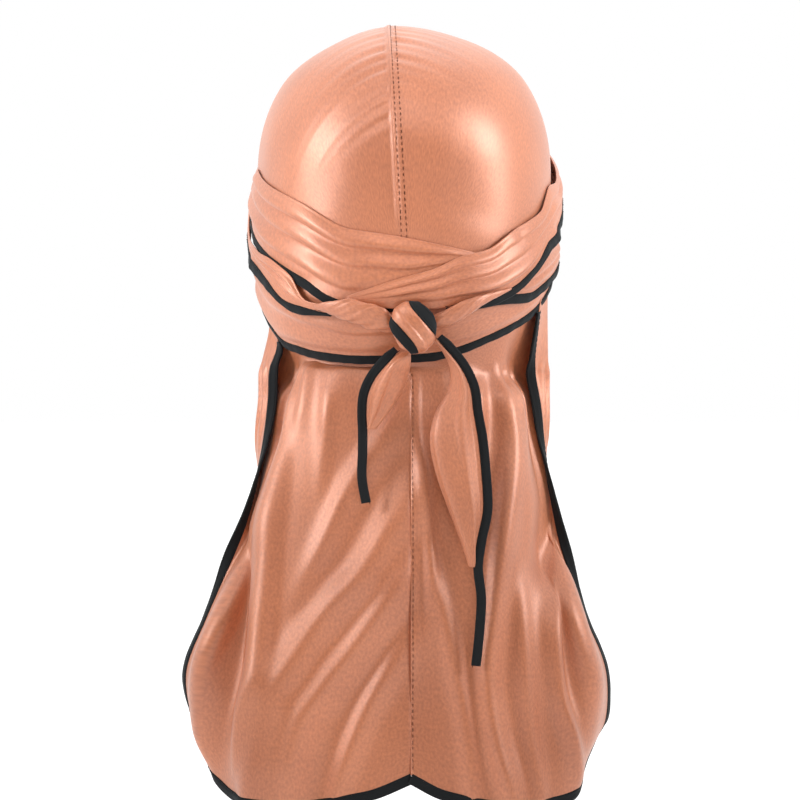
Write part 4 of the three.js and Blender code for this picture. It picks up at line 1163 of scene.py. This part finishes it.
# %% [markdown]
# ## A tree that lays stitches
# A row of stitches is one small thread shape repeated along a line, so Geometry Nodes lays
# them: the line is resampled at the stitch spacing, and each point carries a stitch that is
# turned along it and varies a little in size, as hand-fed sewing does.


# %% The stitch tree
def stitch_tree():
    """Lays stitches along a line; its inputs are the line, three sizes and a material."""
    tree = bpy.data.node_groups.new("stitches", "GeometryNodeTree")
    given_sizes = ("Spacing", "Length", "Thickness")
    kinds = {"Geometry": "Geometry", **dict.fromkeys(given_sizes, "Float"), "Material": "Material"}
    for name, kind in kinds.items():
        tree.interface.new_socket(name, in_out="INPUT", socket_type="NodeSocket" + kind)
    tree.interface.new_socket("Geometry", in_out="OUTPUT", socket_type="NodeSocketGeometry")
    add = tree.nodes.new
    given, result = add("NodeGroupInput"), add("NodeGroupOutput")
    curve, points = add("GeometryNodeMeshToCurve"), add("GeometryNodeResampleCurve")
    points.mode = "LENGTH"
    shape, size = add("GeometryNodeMeshUVSphere"), add("ShaderNodeCombineXYZ")
    set_inputs(shape, {"Segments": 8, "Rings": 5, "Radius": 0.5})
    tangent, turn = add("GeometryNodeInputTangent"), add("FunctionNodeAlignRotationToVector")
    turn.axis = "Z"
    vary = add("FunctionNodeRandomValue")
    vary.data_type = "FLOAT_VECTOR"
    vary.inputs[0].default_value = (0.9, 0.9, 0.85)
    vary.inputs[1].default_value = (1.1, 1.1, 1.1)
    vary.inputs["Seed"].default_value = 7
    scale, place = add("ShaderNodeVectorMath"), add("GeometryNodeInstanceOnPoints")
    scale.operation = "MULTIPLY"
    real, paint = add("GeometryNodeRealizeInstances"), add("GeometryNodeSetMaterial")
    for source, output, target, socket in (
        (given, "Geometry", curve, "Mesh"),
        (curve, "Curve", points, "Curve"),
        (given, "Spacing", points, "Length"),
        (points, "Curve", place, "Points"),
        (shape, "Mesh", place, "Instance"),
        (tangent, "Tangent", turn, "Vector"),
        (turn, "Rotation", place, "Rotation"),
        (given, "Thickness", size, "X"),
        (given, "Thickness", size, "Y"),
        (given, "Length", size, "Z"),
        (size, "Vector", scale, 0),
        (vary, 0, scale, 1),
        (scale, "Vector", place, "Scale"),
        (place, "Instances", real, "Geometry"),
        (real, "Geometry", paint, "Geometry"),
        (given, "Material", paint, "Material"),
        (paint, "Geometry", result, "Geometry"),
    ):
        tree.links.new(source.outputs[output], target.inputs[socket])
    return tree


STITCHES = stitch_tree()
print("the stitch tree has", len(STITCHES.nodes), "nodes")

# %% [markdown]
# ## Rows of stitches
# One row closes the seam of the crown and the cape, one holds the crown's pressed allowance,
# and one holds each tape. Each row starts as a bare line just above the cloth, and its
# stitches become a plain mesh before the piece joins the cover.

# %% Stitches
SEAM_STITCH = (3.1, 2.1, 0.42)
TAPE_STITCH = (3.0, 2.2, 0.36)
SEAM_ROW = 0.95
ALLOWANCE_ROW = ALLOWANCE - 1.3
SEAM_COLUMNS = 40
CROWN_ROW_END = 117
TAPE_ROW = 1.75


def stitches(name, lines, stitch, material):
    """Rows of stitches along lines; a stitch is its spacing, length and thickness."""
    points = np.concatenate(lines) * MM
    starts = np.cumsum([0] + [len(line) for line in lines[:-1]])
    edges = [(s + i, s + i + 1) for s, line in zip(starts, lines) for i in range(len(line) - 1)]
    mesh = bpy.data.meshes.new(name + "_line")
    mesh.from_pydata(points.tolist(), edges, [])
    line = add_object(name + "_line", mesh)
    modifier = line.modifiers.new("stitches", "NODES")
    modifier.node_group = STITCHES
    values = {word: size * MM for word, size in zip(("Spacing", "Length", "Thickness"), stitch)}
    values["Material"] = material
    for item in STITCHES.interface.items_tree:
        if item.in_out == "INPUT" and item.name in values:
            modifier[item.identifier] = values[item.name]
    graph = bpy.context.evaluated_depsgraph_get()
    made = bpy.data.meshes.new_from_object(line.evaluated_get(graph), depsgraph=graph)
    made.name = name
    made.polygons.foreach_set("use_smooth", np.ones(len(made.polygons), bool))
    bpy.data.objects.remove(line)
    add_piece(name, made)
    print(name, len(made.polygons), "faces")


def line_beside(grid, beside, away, rows):
    """A line on a panel at a distance from its seam, just above the cloth."""
    above = (grid + grid_normal(grid) * (CLOTH / 2 + 0.05))[:, :SEAM_COLUMNS]
    beside = beside[:, :SEAM_COLUMNS]
    return np.array([[np.interp(away, beside[i], above[i, :, k]) for k in range(3)] for i in rows])


crown = crown_grids["right"]
crown_away = np.abs((crown - NET_CENTRE) @ SEAM_NORMAL)
crown_rows = [i for i in range(len(crown)) if crown[i, 3, 2] > -CROWN_ROW_END]
cape = cape_grids["right"]
cape_away = np.abs(cape[..., 0] - SEAM_X)
cape_rows = [i for i in range(len(cape)) if -cape[i, 0, 2] > NAPE_DEPTH + 4][:-4]
seam_lines = [line_beside(crown, crown_away, at, crown_rows) for at in (SEAM_ROW, ALLOWANCE_ROW)]
seam_lines.append(line_beside(cape, cape_away, SEAM_ROW, cape_rows))
stitches("seam_stitches", seam_lines, SEAM_STITCH, thread)
tape_lines = [
    centre - unit(across) * TAPE_ROW + unit(normal) * (TAPE_THICK / 2 - 0.02)
    for centre, across, normal in edge_lines
]
stitches("tape_stitches", tape_lines, TAPE_STITCH, binding)

# %% [markdown]
# ## The floor
# The part hangs in the air over a wide pale floor, as a worn piece is shown in a shop. The
# floor gives off a little light, so that the cloth's lower side isn't black.

# %% Floor
FLOOR_DEPTH = 0.425
FLOOR_HALF = 30
FLOOR_FINISH = {
    "Base Color": (0.6, 0.6, 0.6, 1), "Roughness": 0.9, "Emission Color": (1, 1, 1, 1),
    "Emission Strength": 0.6,
}
corners = [
    (x * FLOOR_HALF, y * FLOOR_HALF, -FLOOR_DEPTH) for x, y in ((-1, -1), (1, -1), (1, 1), (-1, 1))
]
floor_mesh = bpy.data.meshes.new("floor")
floor_mesh.from_pydata(corners, [], [(0, 1, 2, 3)])
floor_mesh.materials.append(new_material("pale_floor", FLOOR_FINISH)[0])
floor = add_object("floor", floor_mesh)
print("floor", FLOOR_DEPTH, "m below the crown")

# %% [markdown]
# ## The surroundings
# Satin shows what is round it. The surroundings are white beyond the cover and overhead,
# and dim behind the viewer, so the folds that face the viewer stay deep. One fade runs from
# front to back and one upwards, and the two add up.

# %% Surroundings
# For each axis: from where to where it changes, and between which lights.
FADES = {"Y": (-0.5, 0.25, 1.0, 0.12), "Z": (0.35, 0.95, 0.0, 1.0)}
FADE_INPUTS = ("From Min", "From Max", "To Min", "To Max")
world = bpy.data.worlds.new("surroundings")
bpy.context.scene.world = world
world.use_nodes = True
nodes, links = world.node_tree.nodes, world.node_tree.links
around, direction = nodes.new("ShaderNodeTexCoord"), nodes.new("ShaderNodeSeparateXYZ")
strength = nodes.new("ShaderNodeMath")
links.new(around.outputs["Generated"], direction.inputs["Vector"])
for order, (axis, fade) in enumerate(FADES.items()):
    change = set_inputs(nodes.new("ShaderNodeMapRange"), dict(zip(FADE_INPUTS, fade)))
    links.new(direction.outputs[axis], change.inputs["Value"])
    links.new(change.outputs["Result"], strength.inputs[order])
links.new(strength.outputs["Value"], nodes["Background"].inputs["Strength"])
set_inputs(nodes["Background"], {"Color": (1, 1, 1, 1)})
print("fades:", FADES)

# %% [markdown]
# ## The lamps
# A tall soft lamp on each side grazes the satin and gives it its bands of shine. A weak one
# lights the top. Their light is kept narrow, because a wide one would flatten the folds.

# %% Lamps
AIM = (0, 0.04, 0.03)
LAMP_SPREAD = math.radians(44)
# Each lamp: its place, its breadth and height, and its power.
LAMPS = {
    "left_lamp": ((1.0, 0.4, 0.3), (0.4, 0.6), 1.1),
    "right_lamp": ((-1.0, 0.4, 0.35), (0.4, 0.6), 1.15),
    "top_lamp": ((0.1, 0.85, 0.7), (0.9, 0.5), 0.35),
}
for name, (place, size, power) in LAMPS.items():
    light = bpy.data.lights.new(name, "AREA")
    light.shape = "RECTANGLE"
    light.size, light.size_y = size
    light.energy = power
    light.spread = LAMP_SPREAD
    lamp = add_object(name, light)
    lamp.location = place
    lamp.rotation_euler = (Vector(AIM) - Vector(place)).to_track_quat("-Z", "Y").to_euler()
print(len(LAMPS), "lamps")

# %% [markdown]
# ## The camera
# The cover is seen level from behind, from far enough away that its roundness isn't
# stretched. The lens follows from the distance and the width that the picture should show.

# %% Camera
CAMERA_PLACE = (0.0026, 1.7, -0.1986)
SENSOR_WIDTH = 36
PICTURE_WIDTH = 0.4272
bpy.context.scene.view_settings.view_transform = "Standard"
camera = bpy.data.cameras.new("camera")
camera.sensor_width = SENSOR_WIDTH
camera.lens = SENSOR_WIDTH * CAMERA_PLACE[1] / PICTURE_WIDTH
viewer = add_object("camera", camera)
viewer.location = CAMERA_PLACE
viewer.rotation_euler = (math.radians(90), 0, math.radians(180))
bpy.context.scene.camera = viewer
print("camera at", tuple(viewer.location))

# %% [markdown]
# ## The sheets
# Every part of the cover is sewn from flat cloth. The table gives the width and length each
# piece was cut from, the area of its outline, how it is held, what it lies on, and the tape
# or thread sewn to it.

# %% Sheets
SHEETS = {
    "crown_left": (0.175, 0.336, 0.035, "stretched", ["wrap_over", "nape_wrap"], []),
    "crown_right": (0.193, 0.349, 0.0398, "stretched", ["wrap_over", "nape_wrap"],
                    ["seam_stitches"]),
    "nape_wrap": (0.032, 0.594, 0.0144, "stretched", ["crown_left", "crown_right"],
                  ["nape_wrap_tape"]),
    "wrap_under": (0.026, 0.64, 0.0158, "stretched", ["nape_wrap"], ["wrap_under_tape"]),
    "wrap_over": (0.03, 0.62, 0.0123, "stretched", ["wrap_under"], ["wrap_over_tape"]),
    "cape_left": (0.13, 0.262, 0.0317, "hung", ["nape_wrap"], ["cape_tape_left"]),
    "cape_right": (0.12, 0.273, 0.03, "hung", ["nape_wrap"], ["cape_tape_right"]),
    "knot_band": (0.017, 0.031, 0.00045, "folded", ["knot_core"],
                  ["knot_tape_upper", "knot_tape_lower"]),
    "loose_end_left": (0.022, 0.047, 0.00072, "hung", ["knot_core"], ["loose_end_tape_left"]),
    "loose_end_right": (0.028, 0.121, 0.0022, "hung", ["knot_core"], ["loose_end_tape_right"]),
}
for node, (width, length, area, held, under, sewn) in SHEETS.items():
    piece = bpy.data.objects[node + "_satin"]
print(len(SHEETS), "sheets")
